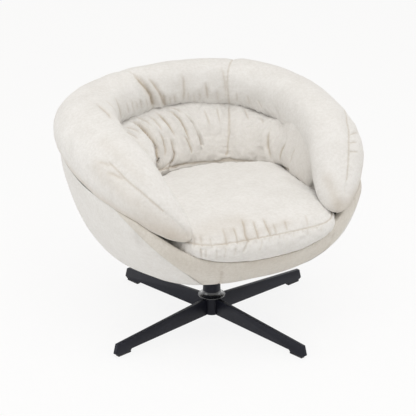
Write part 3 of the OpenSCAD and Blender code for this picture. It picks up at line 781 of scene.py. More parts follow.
padSewing = {
    "stuffing": {"voxel": 0.0055, "cap": 10, "slack": 0.04},
    "rumples": ((3.0, 70, 7.0), (1.1, 30, 2.0)),
    # Painted shade over the pad face: low below the height from, falling by fall up to the height to
    "paintedShade": {"from": 430, "to": 560, "low": 0.24, "fall": 0.17},
    "pinTurns": (-60, 60), "pinHeight": 0.9, "openOver": 8,
    "panel": {"line": [(124, 122), (130, 122.5), (138, 126), (145.5, 132.5), (151, 139.5), (155, 149),
                       (156.5, 160), (156, 171)],
              "softRounds": 24, "fadeIn": 0.3, "fadeOut": 0.12, "rise": 22, "risePower": 1.2, "reach": 60,
              "drop": 6, "dropReach": 12,
              "edge": [(126, 121), (132, 121.5), (139.5, 125), (147, 132), (153, 139.5), (157, 149),
                       (158.5, 160), (157.5, 171)],
              "crease": {"depth": 13, "width": 3, "swell": 0.1, "lean": -0.6, "openEnd": True},
              # Painted light on the panel's side of its edge and painted shade beyond it, with their reaches
              "shadeReach": 46, "light": 0.3, "dark": 0.42, "darkReach": 13},
    "seam": [(229.4, 104), (229.4, 120), (228.2, 136), (227.2, 150), (225.6, 158)],
    "seamSewing": {"groove": 2.5, "dip": 7, "dipWidth": 16, "gather": 1.4, "pitch": 17, "seed": 0.2},
    "upper": (-58, 58),
    "upperSewing": {"groove": 0, "width": 3, "dip": 0, "dipWidth": 22, "gather": 1.6, "pitch": 24,
                    "seed": 0.8, "shade": 0.3},
    "foot": [(158, 171.5), (168, 168.5), (176, 166.8), (185, 165), (197, 163.6), (210, 162.6), (222, 161.8),
             (230, 161), (242, 161.6), (254, 162.6), (266, 164.6), (278, 167.4), (290, 170)],
    "footSewing": {"groove": 3, "width": 5, "dip": 3, "dipWidth": 14, "gather": 2.2, "pitch": 33,
                   "seed": 0.15, "shade": 0.8},
    "pits": [
        (5, 4, [(222, 160), (228, 158.5), (234, 160)]),
        (5, 4, [(172, 167.5), (180, 165.5), (188, 164.5)]),
        (4, 4, [(160, 170.5), (165, 168), (170, 162)]),
    ],
    "folds": [
        (3, 3.5, 0, [(121, 127), (128, 127.5), (136, 130), (142, 134)]),
        (3, 3.5, 0, [(121, 131.5), (128, 132.5), (135, 136), (140, 141)]),
        (2.6, 3.5, 0, [(123, 137), (129, 139.5), (135, 144), (139, 150)]),
        (2.2, 3, 0, [(127, 143), (132, 147), (137, 153)]),
        (6, 4.5, 0, [(153, 110), (161, 116), (168, 124), (173, 132), (177, 141)]),
        (11, 4, 0.4, [(169, 135), (173, 145), (174.5, 155), (171, 166)]),
        (8, 4, 0.4, [(163, 108.5), (172, 112), (180, 119), (185.5, 129), (189, 139), (192, 149)]),
        (4, 3, 0, [(169, 107), (177, 109), (183, 113.5)]),
        (13, 4, 0.6, [(184, 111), (189, 118), (194, 126), (198, 134.5), (201, 144)]),
        (6, 3.5, 0, [(182, 133), (188, 141), (192, 150), (192, 158)]),
        (5, 4, 0, [(157, 128), (163, 139), (166, 151), (164, 162)]),
        (4, 3.5, 0, [(146, 113), (154, 119), (160, 127), (164, 135)]),
        (3.5, 3.5, 0, [(131, 117), (139, 117.5), (147, 121), (154, 128)]),
        (3, 4, 0, [(216, 106), (219, 116), (221, 126)]),
        (3, 5, 0, [(203, 108), (208, 118), (212, 130)]),
        (3, 4, 0, [(243, 107), (247, 114), (249, 122)]),
        (5, 6, 0, [(271, 127), (268, 137), (267.5, 147), (270, 157), (272, 164)]),
        (5, 6, 0, [(287, 141), (281, 150), (279, 157), (280, 164)]),
        (2.5, 5, 0, [(258, 113), (262, 119), (264, 127)]),
        (2.5, 5, 0, [(297, 145), (292, 154), (290, 162), (291, 168)]),
    ],
}


# Beside the seat the pad leaves the arm without a line: its upper strip takes on the arm's own surface
melting = {"reach": 115, "rows": 90, "endFade": 70, "gain": 1.25, "power": 1.4, "inset": 1.6,
           "closeReach": 20, "closeShare": 0.8, "overlap": 6, "closeRows": 120}


def meltInto(piece, arm):
    m = melting
    turns = np.concatenate([np.linspace(-pad["endAngle"], -pad["mergeFrom"], m["rows"]),
                            np.linspace(pad["mergeFrom"], pad["endAngle"], m["rows"])])
    rows = padRow(turns)
    co, normals, tree = pointsOf(piece), normalsOf(piece), treeOf(arm)

    def draw(near, share):
        for i, w in zip(near, share):
            spot, normal, _, _ = tree.find_nearest(Vector(co[i]) / 1000)
            co[i] += (np.array(spot) * 1000 - m["inset"] * np.array(normal) - co[i]) * w

    close = pad["mergeFrom"] + m["overlap"]
    middle = padRow(np.linspace(-close, close, m["closeRows"]))[:, padFace]
    near, dist, _, _, _ = alongLine(co, normals, middle, m["closeReach"])
    draw(near, m["closeShare"] * (1 - dist / m["closeReach"]))
    for half in (slice(0, m["rows"]), slice(m["rows"], None)):
        near, dist, run, _, length = alongLine(co, normals, rows[half, padFace], m["reach"])
        inward = run if turns[half][0] > 0 else length - run
        draw(near, np.clip(inward / m["endFade"], 0, 1)
             * np.clip(m["gain"] * (1 - dist / m["reach"]), 0, 1) ** m["power"])
    setPoints(piece, co)


def sewPad(piece):
    s, panel, paintedShade = padSewing, padSewing["panel"], padSewing["paintedShade"]
    turns = np.linspace(*s["pinTurns"], 100)
    edges = [rollLine(turns, 180 + roll["seamRound"]), spun(turns, cushionSide(turns, s["pinHeight"]))]
    stuffed(piece, edges + [padTrack(a) for a in pad["pinned"]], **s["stuffing"])
    meltInto(piece, rollCloth)
    hungOver(piece, panel)
    cloth = Cloth(piece, s["rumples"])
    cloth.seam(cloth.seen(s["seam"]), **s["seamSewing"])
    # Painted shade over the pad face, darker towards its foot
    cloth.shade += paintedShade["low"] - paintedShade["fall"] * portion(cloth.co[:, 2], paintedShade["from"], paintedShade["to"])
    edge = cloth.seen(panel["edge"])
    cloth.crease(edge, **panel["crease"])
    # Painted light on the panel's side of its edge (less painted shade) and painted shade on the other side,
    # under the overhang
    near, dist, run, side, length = cloth.along(softened(edge), panel["shadeReach"])
    cloth.shade[near] += portion(run, 0, panel["fadeIn"] * length) * np.where(
        side > 0, -panel["light"] * (1 - dist / panel["shadeReach"]),
        panel["dark"] * np.exp(-dist / panel["darkReach"]))
    upper = rollLine(np.linspace(*s["upper"], 120), 180 + roll["seamRound"])
    cloth.seam(cloth.laid(upper), **s["upperSewing"])
    cloth.seam(cloth.seen(s["foot"]), **s["footSewing"])
    for depth, width, marks in s["pits"]:
        cloth.crease(cloth.seen(marks), depth, width, swell=0.2, openStart=True, openEnd=True)
    for depth, width, lean, marks in s["folds"]:
        cloth.crease(cloth.seen(marks), depth, width, lean=lean, openEnd=depth > s["openOver"])
    cloth.press()


# Seat cushion
seatSewing = {
    "stuffing": {"voxel": 0.0055, "cap": 8, "slack": 0.024},
    "rumples": ((2.5, 110, 3.0), (0.7, 30, 8.0)),
    "edgeFrom": 92,
    "edgeSewing": {"groove": 2.4, "width": 2.4, "dip": 2.2, "dipWidth": 13, "gather": 1.5, "pitch": 19,
                   "seed": 0.6, "shade": 0.6},
    # Painted shade on the seat's front towards the left arm, as (reach, amount, line in the view)
    "veils": [
        (34, 0.24, [(196, 238), (206, 230), (222, 224), (240, 221)]),
        (13, 0.22, [(243, 240), (258, 233), (272, 227), (288, 222)]),
        (12, 0.2, [(222, 246), (228, 238), (231, 230)]),
    ],
    "pleats": {"first": (256, 237.5), "last": (322, 224), "count": 15, "drop": 10, "dropWaver": (0.25, 2.4),
               "depth": 1.9, "depthWaver": (0.3, 4.1), "width": 2.6, "bend": 0.7, "bendRate": 1.7},
    "folds": [
        (2.4, 4.0, [(222, 226), (224, 232), (226, 238), (227, 244)]),
        (3.4, 3.6, [(233, 226), (236, 234), (238, 242)]),
        (4.0, 4.4, [(241, 217), (244, 226), (245, 234), (249, 241)]),
        (2.6, 3.4, [(249, 239), (247, 244), (244, 251)]),
        (3.6, 4.0, [(252, 219), (255, 227), (259, 238)]),
        (3.8, 4.0, [(262, 216), (266, 225), (271, 235)]),
        (2.6, 3.4, [(272, 222), (275, 228), (277, 234)]),
        (2.6, 4.0, [(284, 219), (287, 229)]),
        (2.0, 4.0, [(305, 214), (308, 224)]),
        (2.0, 3.4, [(199, 234), (201, 240), (202, 245)]),
        (2.6, 3.0, [(200, 246), (201, 251), (201.5, 257)]),
        (2.4, 2.6, [(205, 248), (206, 252), (206, 257)]),
        (1.8, 3.0, [(216, 248), (217, 252), (217, 258)]),
        (1.8, 3.0, [(225, 246), (226, 251), (225, 257)]),
        (1.8, 3.0, [(236, 244), (236, 249), (235, 255)]),
        (1.6, 3.0, [(262, 237), (262, 243), (260, 250)]),
        (1.6, 3.0, [(192, 232), (194, 239), (194, 246)]),
        (1.6, 4.0, [(209, 236), (211, 242), (212, 247)]),
    ],
}


def makeSeatCushion():
    c = cushion
    angle = 180 - np.arange(c["turns"]) * 360 / c["turns"]
    foot = spun(angle, cushionSide(angle, 0))
    rings = []
    for k in range(c["footRings"]):
        keep = (k + c["firstRing"]) / c["footRings"]
        rings.append(np.stack([foot[:, 0] * keep, between(cushionMidY, foot[:, 1], keep),
                               np.full(c["turns"], cushionZ)], -1))
    rings += [spun(angle, cushionSide(angle, k / c["sideRings"])) for k in range(c["sideRings"] + 1)]
    edge = rings[-1]
    for k in range(1, c["topRings"] + 1):
        t = c["lastRing"] * k / c["topRings"]
        z = between(edge[:, 2], body["seatHeight"], 1 - (1 - t) ** c["edgePower"])
        rings.append(np.stack([edge[:, 0] * (1 - t), between(cushionMidY, edge[:, 1], 1 - t),
                               z + c["crown"] * sinD(90 * t) ** c["crownPower"]], -1))
    return meshFrom("seatCushionCloth", np.stack(rings).reshape(-1, 3), tubeFaces(len(rings), c["turns"]))


# A share that varies from row to row, by up to an amount below and above its middle
def waver(k, amount, rate):
    return 1 - amount + amount * math.sin(rate * k)


def sewSeat(piece):
    s, row = seatSewing, seatSewing["pleats"]
    whole = np.linspace(0, 360, 240)
    angle = np.concatenate([np.linspace(s["edgeFrom"], 180, 110), np.linspace(-180, -s["edgeFrom"], 110)])
    edge = spun(angle, cushionSide(angle, 1))
    stuffed(piece, [edge, spun(whole, cushionSide(180 - whole, 0))], **s["stuffing"])
    cloth = Cloth(piece, s["rumples"])
    line = cloth.laid(edge)
    cloth.seam(line, **s["edgeSewing"])
    cloth.folds(s["folds"], 0)
    for k in range(row["count"]):
        x, y = (between(row["first"][i], row["last"][i], k / (row["count"] - 1)) for i in (0, 1))
        fall = row["drop"] * waver(k, *row["dropWaver"])
        middle = (x + row["bend"] * math.sin(row["bendRate"] * k), y + 0.5 * fall)
        cloth.crease(cloth.seen([(x, y + 1), middle, (x, y + fall)]),
                     row["depth"] * waver(k, *row["depthWaver"]), row["width"])
    cloth.veils(s["veils"])
    cloth.press()
    return line


# Padded covers of the bowl: a side and back cover and a front band, lined over the shell's lip at the front
cover = {"turnStep": 1.0, "upSteps": 44, "rimSteps": 10, "liningSteps": 4, "lining": 2, "liningLow": 0.86,
         "liningFrom": 116, "liningFade": 8, "skinGap": 0.4, "rimSwell": 2.2, "rimPower": 0.6,
         "aboveFoot": 3.0,
         "tipRises": ((-134, 10, 13), (138, 9, 23)), "riseFrom": 0.7,
         "sideRumples": ((2.2, 120, 5.0), (0.5, 40, 6.0))}


# The rim stands up a little under each arm tip, so that the cloth closes up to the arm
def tipRise(angle, share):
    return smoothStep(portion(share, cover["riseFrom"], 1)) * sum(
        rise * hump(angle - middle, half) for middle, half, rise in cover["tipRises"])


def makeCover(name, first, last):
    c = cover
    turns = np.linspace(first, last, int((last - first) / c["turnStep"]) + 1)
    outer, under = bowl["cover"], bowl["shellIn"] + c["skinGap"]
    inner = under + c["lining"]
    steps, rim, low = c["upSteps"], c["rimSteps"], c["liningLow"]
    section = [(k / steps, 0, 0) for k in range(steps + 1)]
    section += [(1, inner * k / rim, c["rimSwell"] * math.sin(math.pi * k / rim) ** c["rimPower"])
                for k in range(1, rim)]
    for a, b, depth in ((1, low, inner), (low, 1, under)):
        section += [(between(a, b, k / c["liningSteps"]), depth, 0) for k in range(c["liningSteps"] + 1)]
    section += [(1, under, c["skinGap"]), (1, outer, c["skinGap"])]
    section += [(1 - k / steps, outer, 0) for k in range(steps + 1)]
    up, depth, lift = (np.array(v, float) for v in zip(*section))
    turn, share = np.meshgrid(turns, up, indexing="ij")
    lined = portion(np.abs(turns), c["liningFrom"], c["liningFrom"] + c["liningFade"])
    foot = np.minimum(low, findUp(wrapped(turns), np.full(len(turns), cushionZ + c["aboveFoot"])))
    stretch = (lined * (1 - foot) / (1 - low))[:, None]
    share = np.where(depth > outer + 0.1, 1 - (1 - share) * stretch, share)
    deep = np.minimum(depth, outer) + np.maximum(depth - outer, 0) * lined[:, None]
    angle = seamLean(turn, share)
    r, z = bowlPoint(angle, share, deep)
    points = spun(angle, (r, z + lift * lined[:, None] + tipRise(wrapped(angle), share)))
    return meshFrom(name, points.reshape(-1, 3), tubeFaces(len(turns), len(up)))


bandSewing = {
    "rumples": ((1.2, 90, 9.0),),
    "seams": (-158.2, 146.5), "from": 0.25, "to": 0.99, "steps": 50,
    "sewing": {"groove": 1.4, "width": 2, "dip": 1, "dipWidth": 12, "gather": 0.3, "pitch": 16, "seed": 0.1},
    # Painted shade over the band's right part, and lighter at its left, as (reach, amount, line in the view)
    "veils": [
        (26, 0.24, [(252, 262), (274, 256), (296, 246), (316, 232), (326, 224)]),
        (22, 0.12, [(176, 256), (192, 264), (210, 269)]),
    ],
}


def sewBand(piece):
    s = bandSewing
    cloth = Cloth(piece, s["rumples"])
    up = np.linspace(s["from"], s["to"], s["steps"])
    rows = [spun(np.full(len(up), a), bowlPoint(np.full(len(up), a), up)) for a in s["seams"]]
    lines = [cloth.laid(row) for row in rows]
    for line in lines:
        cloth.seam(line, **s["sewing"])
    cloth.veils(s["veils"])
    cloth.press()
    return lines


rollCloth = makeRoll()
armSeams = sewRoll(rollCloth)
print("roll made")
padCloth = makePad()
sewPad(padCloth)
print("back cushion made")
seatCloth = makeSeatCushion()
seatSeam = sewSeat(seatCloth)
print("seat cushion made")
sideCloth = makeCover("sideCoverCloth", -bowl["seam"], bowl["seam"])
Cloth(sideCloth, cover["sideRumples"]).press()
bandCloth = makeCover("frontBandCloth", bowl["seam"], 360 - bowl["seam"])
bandSeams = sewBand(bandCloth)
print("bowl covers made")


# Node helpers
def socketIn(tree, name, kind, value=None):
    s = tree.interface.new_socket(name, in_out="INPUT", socket_type=kind)
    if value is not None:
        s.default_value = value
    return s


def mathNode(tree, kind, a, b=None, clamp=False):
    n = tree.nodes.new("ShaderNodeMath")
    n.operation = kind
    n.use_clamp = clamp
    for i, v in enumerate((a, b)):
        if v is None:
            continue
        if isinstance(v, (int, float)):
            n.inputs[i].default_value = v
        else:
            tree.links.new(v, n.inputs[i])
    return n.outputs[0]


def noiseNode(tree, vector, scale, detail=2.0, rough=0.5):
    n = tree.nodes.new("ShaderNodeTexNoise")
    n.inputs["Scale"].default_value = scale
    n.inputs["Detail"].default_value = detail
    n.inputs["Roughness"].default_value = rough
    tree.links.new(vector, n.inputs["Vector"])
    return n.outputs["Fac"]


def spread(tree, value, low, high, toLow, toHigh):
    n = tree.nodes.new("ShaderNodeMapRange")
    for key, v in zip(("From Min", "From Max", "To Min", "To Max"), (low, high, toLow, toHigh)):
        n.inputs[key].default_value = v
    tree.links.new(value, n.inputs["Value"])
    return n.outputs["Result"]


def stretched(tree, vector, scale):
    n = tree.nodes.new("ShaderNodeMapping")
    n.inputs["Scale"].default_value = scale
    tree.links.new(vector, n.inputs["Vector"])
    return n.outputs["Vector"]


# A shader group with a Vector, further inputs as (name, kind, value), and outputs that are numbers
def startGroup(name, inputs, outputs):
    g = bpy.data.node_groups.new(name, "ShaderNodeTree")
    socketIn(g, "Vector", "NodeSocketVector")
    for row in inputs:
        socketIn(g, *row)
    for out in outputs:
        g.interface.new_socket(out, in_out="OUTPUT", socket_type="NodeSocketFloat")
    return g, g.nodes.new("NodeGroupInput").outputs, g.nodes.new("NodeGroupOutput").inputs


# Plain weave with uneven yarn: Height for the bump, Tone for the colour, Fuzz for the roughness
weave = {"across": (70, 70, 900), "down": (620, 620, 60), "grain": 1400.0, "cloud": 18.0, "fleck": 120.0,
         "fleckRough": 0.7, "knotHeight": 0.25, "grainHeight": 0.35, "cloudTone": 1.1, "fleckTone": 1.9,
         "yarnTone": 1.2, "knotTone": 0.08, "fuzz": (0.3, 0.7, 0.82, 0.97)}


def makeWeaveGroup():
    w = weave
    g, given, made = startGroup("linenWeave", (("Yarns per metre", "NodeSocketFloat", 620.0),
                                               ("Slub", "NodeSocketFloat", 0.5)),
                                ("Height", "Tone", "Fuzz"))
    vector = given["Vector"]

    def add(a, b):
        return mathNode(g, "ADD", a, b)

    def times(a, b):
        return mathNode(g, "MULTIPLY", a, b)

    split = g.nodes.new("ShaderNodeSeparateXYZ")
    g.links.new(vector, split.inputs[0])
    x, y, z = (mathNode(g, "SINE", times(split.outputs[axis], times(given["Yarns per metre"], math.pi)))
               for axis in "XYZ")
    knots = add(add(times(x, z), times(y, z)), times(x, y))
    yarns = add(*(noiseNode(g, stretched(g, vector, w[key]), 1.0) for key in ("across", "down")))
    thick = times(mathNode(g, "SUBTRACT", yarns, 1.0), given["Slub"])
    grain = noiseNode(g, vector, w["grain"])
    height = add(times(knots, w["knotHeight"]), add(thick, times(grain, w["grainHeight"])))
    g.links.new(height, made["Height"])
    cloud = mathNode(g, "SUBTRACT", noiseNode(g, vector, w["cloud"], 3.0), 0.5)
    fleck = mathNode(g, "SUBTRACT", noiseNode(g, vector, w["fleck"], 3.0, w["fleckRough"]), 0.5)
    patches = add(times(cloud, w["cloudTone"]), times(fleck, w["fleckTone"]))
    tone = add(add(times(thick, w["yarnTone"]), patches), 0.5)
    g.links.new(mathNode(g, "ADD", times(knots, w["knotTone"]), tone, True), made["Tone"])
    g.links.new(spread(g, grain, *w["fuzz"]), made["Fuzz"])
    return g


# Fine grain with sparse scuffs: for painted steel, board, plastic and plated metal
wear = {"grain": 900.0, "grainDetail": 3.0, "scuff": 30.0, "scuffDetail": 4.0, "scuffRough": 0.65,
        "scuffSpan": (0.58, 0.74), "cloud": 12.0}


def makeFinishGroup():
    w = wear
    g, given, made = startGroup("paintAndWear", (("Grain scale", "NodeSocketFloat", w["grain"]),
                                                 ("Scuff scale", "NodeSocketFloat", w["scuff"]),
                                                 ("Stretch", "NodeSocketVector", (1, 1, 1))),
                                ("Height", "Scuff", "Cloud"))
    scaled = g.nodes.new("ShaderNodeVectorMath")
    scaled.operation = "MULTIPLY"
    for i, name in enumerate(("Vector", "Stretch")):
        g.links.new(given[name], scaled.inputs[i])
    grain = noiseNode(g, scaled.outputs[0], w["grain"], w["grainDetail"])
    scuff = noiseNode(g, scaled.outputs[0], w["scuff"], w["scuffDetail"], w["scuffRough"])
    g.links.new(given["Grain scale"], grain.node.inputs["Scale"])
    g.links.new(given["Scuff scale"], scuff.node.inputs["Scale"])
    g.links.new(grain, made["Height"])
    g.links.new(spread(g, scuff, *w["scuffSpan"], 0.0, 1.0), made["Scuff"])
    g.links.new(noiseNode(g, given["Vector"], w["cloud"]), made["Cloud"])
    return g


weaveGroup, finishGroup = makeWeaveGroup(), makeFinishGroup()


def startMaterial(name):
    m = bpy.data.materials.new(name)
    m.use_nodes = True
    tree = m.node_tree
    shader = tree.nodes["Principled BSDF"]
    place = tree.nodes.new("ShaderNodeTexCoord").outputs["Object"]
    return m, tree, shader, place


def groupNode(tree, group, place, **values):
    n = tree.nodes.new("ShaderNodeGroup")
    n.node_tree = group
    tree.links.new(place, n.inputs["Vector"])
    setInputs(n, **values)
    return n


def colourMix(tree, fac, a, b):
    n = tree.nodes.new("ShaderNodeMix")
    n.data_type = "RGBA"
    tree.links.new(fac, n.inputs["Factor"])
    for socket, v in zip((n.inputs[6], n.inputs[7]), (a, b)):
        if isinstance(v, tuple):
            socket.default_value = (*v, 1)
        else:
            tree.links.new(v, socket)
    return n.outputs[2]


def bumpInto(tree, shader, height, distance, strength):
    n = tree.nodes.new("ShaderNodeBump")
    n.inputs["Distance"].default_value = distance
    n.inputs["Strength"].default_value = strength
    tree.links.new(height, n.inputs["Height"])
    tree.links.new(n.outputs["Normal"], shader.inputs["Normal"])


fabricLook = {"foldShare": 0.72, "sheen": 0.12, "sheenRough": 0.5, "shine": 0.25, "bump": (0.0005, 0.6)}
# Light and dark are the two yarn tones of each cloth; fold is the dark warm colour that painted shade mixes
# in
fabrics = {
    "offWhiteLinen": {"light": (0.868, 0.862, 0.85), "dark": (0.77, 0.758, 0.735),
                      "fold": (0.44, 0.35, 0.24)},
    # A darker, warmer copy of the same linen: painted shade for the front band, which faces down and away
    # from the lamps
    "offWhiteLinenBandPaintedShade": {"light": (0.79, 0.76, 0.71), "dark": (0.68, 0.645, 0.585),
                          "fold": (0.4, 0.32, 0.23)},
}


def setInputs(shader, **values):
    for key, v in values.items():
        shader.inputs[key.replace("_", " ")].default_value = v


def makeFabric(name):
    s = fabrics[name]
    m, tree, shader, place = startMaterial(name)
    woven = groupNode(tree, weaveGroup, place)
    colour = colourMix(tree, woven.outputs["Tone"], s["dark"], s["light"])
    # Painted shade: the foldShade attribute mixes the cloth's colour toward its dark fold colour
    mark = tree.nodes.new("ShaderNodeAttribute")
    mark.attribute_name = "foldShade"
    deep = mathNode(tree, "MULTIPLY", mark.outputs["Fac"], fabricLook["foldShare"])
    tree.links.new(colourMix(tree, deep, colour, s["fold"]), shader.inputs["Base Color"])
    tree.links.new(woven.outputs["Fuzz"], shader.inputs["Roughness"])
    setInputs(shader, Sheen_Weight=fabricLook["sheen"], Sheen_Roughness=fabricLook["sheenRough"],
              Specular_IOR_Level=fabricLook["shine"])
    bumpInto(tree, shader, woven.outputs["Height"], *fabricLook["bump"])
    return m


finishBase = {"metal": 0, "coat": 0, "shine": 0.5, "stretch": (1, 1, 1), "coatRough": 0.12, "scuff": 0.06,
              "speckSpan": (0.35, 0.65), "grainSpan": (0.3, 0.7)}
finishes = {
    "blackPowderCoat": {"colour": (0.0065, 0.0075, 0.014), "other": (0.011, 0.012, 0.021),
                        "rough": (0.34, 0.46), "grain": 1300, "bump": (0.0001, 0.35), "shine": 0.22},
    "glossBlack": {"colour": (0.012, 0.013, 0.016), "other": (0.02, 0.021, 0.026),
                   "rough": (0.1, 0.18), "grain": 500, "bump": (0.00004, 0.15), "coat": 0.8},
    "footPlastic": {"colour": (0.02, 0.02, 0.021), "other": (0.035, 0.035, 0.036),
                    "rough": (0.5, 0.65), "grain": 2200, "bump": (0.0001, 0.4)},
    "brightSteel": {"colour": (0.58, 0.585, 0.59), "other": (0.7, 0.7, 0.7),
                    "rough": (0.2, 0.34), "grain": 700, "bump": (0.00004, 0.3), "metal": 1},
    "cageBrass": {"colour": (0.68, 0.5, 0.2), "other": (0.78, 0.6, 0.28),
                  "rough": (0.25, 0.4), "grain": 900, "bump": (0.00005, 0.3), "metal": 1},
    "nylon": {"colour": (0.8, 0.8, 0.76), "other": (0.87, 0.87, 0.84),
              "rough": (0.42, 0.55), "grain": 1500, "bump": (0.00005, 0.3)},
    "mouldedShell": {"colour": (0.05, 0.05, 0.052), "other": (0.075, 0.075, 0.078),
                     "rough": (0.5, 0.7), "grain": 900, "bump": (0.0002, 0.5)},
    "dustCloth": {"colour": (0.02, 0.02, 0.02), "other": (0.045, 0.045, 0.045),
                  "rough": (0.85, 0.97), "grain": 2600, "bump": (0.0003, 0.8)},
    "elasticWebbing": {"colour": (0.03, 0.03, 0.03), "other": (0.07, 0.068, 0.065),
                       "rough": (0.8, 0.95), "grain": 1800, "bump": (0.0004, 0.8)},
    "birchBoard": {"colour": (0.62, 0.45, 0.27), "other": (0.74, 0.58, 0.38), "rough": (0.5, 0.7),
                   "grain": 260, "bump": (0.0002, 0.5), "stretch": (1, 0.08, 1)},
}


def makeFinish(name):
    s = {**finishBase, **finishes[name]}
    m, tree, shader, place = startMaterial(name)
    worn = groupNode(tree, finishGroup, place, Grain_scale=float(s["grain"]), Stretch=s["stretch"])
    cloud, grain, scuff = (worn.outputs[k] for k in ("Cloud", "Height", "Scuff"))
    speck = mathNode(tree, "MULTIPLY", mathNode(tree, "ADD", cloud, grain), 0.5)
    colour = colourMix(tree, spread(tree, speck, *s["speckSpan"], 0, 1), s["colour"], s["other"])
    tree.links.new(colour, shader.inputs["Base Color"])
    rough = mathNode(tree, "ADD", spread(tree, grain, *s["grainSpan"], *s["rough"]),
                     mathNode(tree, "MULTIPLY", scuff, s["scuff"]))
    tree.links.new(rough, shader.inputs["Roughness"])
    setInputs(shader, Metallic=s["metal"], Coat_Weight=s["coat"], Specular_IOR_Level=s["shine"],
              Coat_Roughness=s["coatRough"])
    bumpInto(tree, shader, grain, *s["bump"])
    return m


materials = {name: makeFabric(name) for name in fabrics}
materials.update({name: makeFinish(name) for name in finishes})
print("materials made")


def dress(piece, material):
    piece.data.materials.clear()
    piece.data.materials.append(materials[material])


nodeFinish = {
    "foot_plastic": "footPlastic", "black_steel": "blackPowderCoat", "gloss_black": "glossBlack",
    "bright_steel": "brightSteel", "cage_brass": "cageBrass", "nylon": "nylon", "shell": "mouldedShell",
    "dust_cloth": "dustCloth", "webbing": "elasticWebbing", "board": "birchBoard",
    "upholstery": "offWhiteLinen", "upholstery_band": "offWhiteLinenBandPaintedShade",
}
for part in frame["record"]["subparts"]:
    cad = nodes[part["node"]]
    for i in range(max(1, len(cad.data.materials))):
        if i >= len(cad.data.materials):
            cad.data.materials.append(None)
        cad.data.materials[i] = materials[nodeFinish[part["material_slot"]]]


# Steel base: the same bars and turned parts, with their edges eased
base = {"hubR": 25, "hubZ": 16, "hubTop": 72, "postR": 19, "collarR": 39.5, "collarRim": 3, "collarH": 16,
        "sleeveFoot": 25.8, "rimEase": 0.8, "bellCorner": 0.7, "bellSteps": 24, "ease": 1.2, "easeSteps": 4,
        "legEase": 0.0016, "legSegments": 3, "sharpAngle": 35, "flatAngle": 2, "turnSteps": 96,
        "weld": 0.00002}


def easedCopy(name, node):
    mesh = nodes[node].data.copy()
    mesh.name = name
    piece = placed(name, mesh)
    tidy = bmesh.new()
    tidy.from_mesh(mesh)
    bmesh.ops.remove_doubles(tidy, verts=tidy.verts, dist=base["weld"])
    bmesh.ops.dissolve_limit(tidy, angle_limit=math.radians(base["flatAngle"]), verts=tidy.verts,
                             edges=tidy.edges)
    bmesh.ops.recalc_face_normals(tidy, faces=tidy.faces)
    tidy.to_mesh(mesh)
    tidy.free()
    ease = piece.modifiers.new("eased", "BEVEL")
    ease.width = base["legEase"]
    ease.segments = base["legSegments"]
    ease.limit_method = "ANGLE"
    ease.angle_limit = math.radians(base["sharpAngle"])
    ease.harden_normals = True
    mesh.shade_smooth()
    return settled(piece)


def turned(name, profile):
    profile = np.array(profile, float)
    steps = base["turnSteps"]
    angle = np.arange(steps) * 360 / steps
    points = np.stack([spun(angle, (np.full(steps, r), np.full(steps, z))) for r, z in profile])
    return meshFrom(name, points.reshape(-1, 3), tubeFaces(len(profile), steps, True))


def easedProfile(corners, ease, steps):
    out = []
    corners = [np.array(c, float) for c in corners]
    for i, c in enumerate(corners):
        a, b = corners[i - 1], corners[(i + 1) % len(corners)]
        da, db = a - c, b - c
        e = min(ease, 0.4 * np.linalg.norm(da), 0.4 * np.linalg.norm(db))
        p, q = c + da / np.linalg.norm(da) * e, c + db / np.linalg.norm(db) * e
        for k in range(steps + 1):
            t = k / steps
            out.append((1 - t) ** 2 * p + 2 * t * (1 - t) * c + t * t * q)
    return out


def makeBase():
    made = []
    for corner in ("front_left", "front_right", "rear_left", "rear_right"):
        leg = easedCopy(corner.replace("_", "") + "LegBar", corner + "_leg")
        made.append((leg, corner + "_leg", "blackPowderCoat", "black_steel"))
    b = base
    tube = [(b["hubR"], b["hubZ"]), (b["hubR"], b["hubTop"]), (b["postR"], b["hubTop"]),
            (b["postR"], b["hubZ"])]
    hub = turned("hubTube", easedProfile(tube, b["ease"], b["easeSteps"]))
    made.append((hub, "hub_socket", "blackPowderCoat", "black_steel"))
    top, rim, soft = b["hubTop"] + b["collarH"], b["hubTop"] + b["collarRim"], b["rimEase"]
    bell = [(b["postR"], b["hubTop"]), (b["collarR"] - soft, b["hubTop"]), (b["collarR"], b["hubTop"] + soft),
            (b["collarR"], rim - soft)]
    for k in range(b["bellSteps"] + 1):
        t = 90 * k / b["bellSteps"]
        r = between(b["sleeveFoot"], b["collarR"], 1 - float(sinD(t)))
        bell.append((r - (b["bellCorner"] if k == 0 else 0), between(rim, top, 1 - float(cosD(t)))))
    bell.append((b["postR"], top))
    made.append((turned("columnCollar", bell), "column_collar", "glossBlack", "gloss_black"))
    return made


for piece, node, finish, slotName in makeBase():
    dress(piece, finish)
    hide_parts(node)
    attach(piece, "base")
print("base made")


# Stitches: a small rounded thread length at even steps along each sewn line, in metres
stitching = {"Pitch": 0.0052, "Length": 0.0036, "Thickness": 0.00042}
stitchPlace = {"sides": 6, "above": 0.00012, "besideBand": 0.005, "besideSeam": 0.0045}


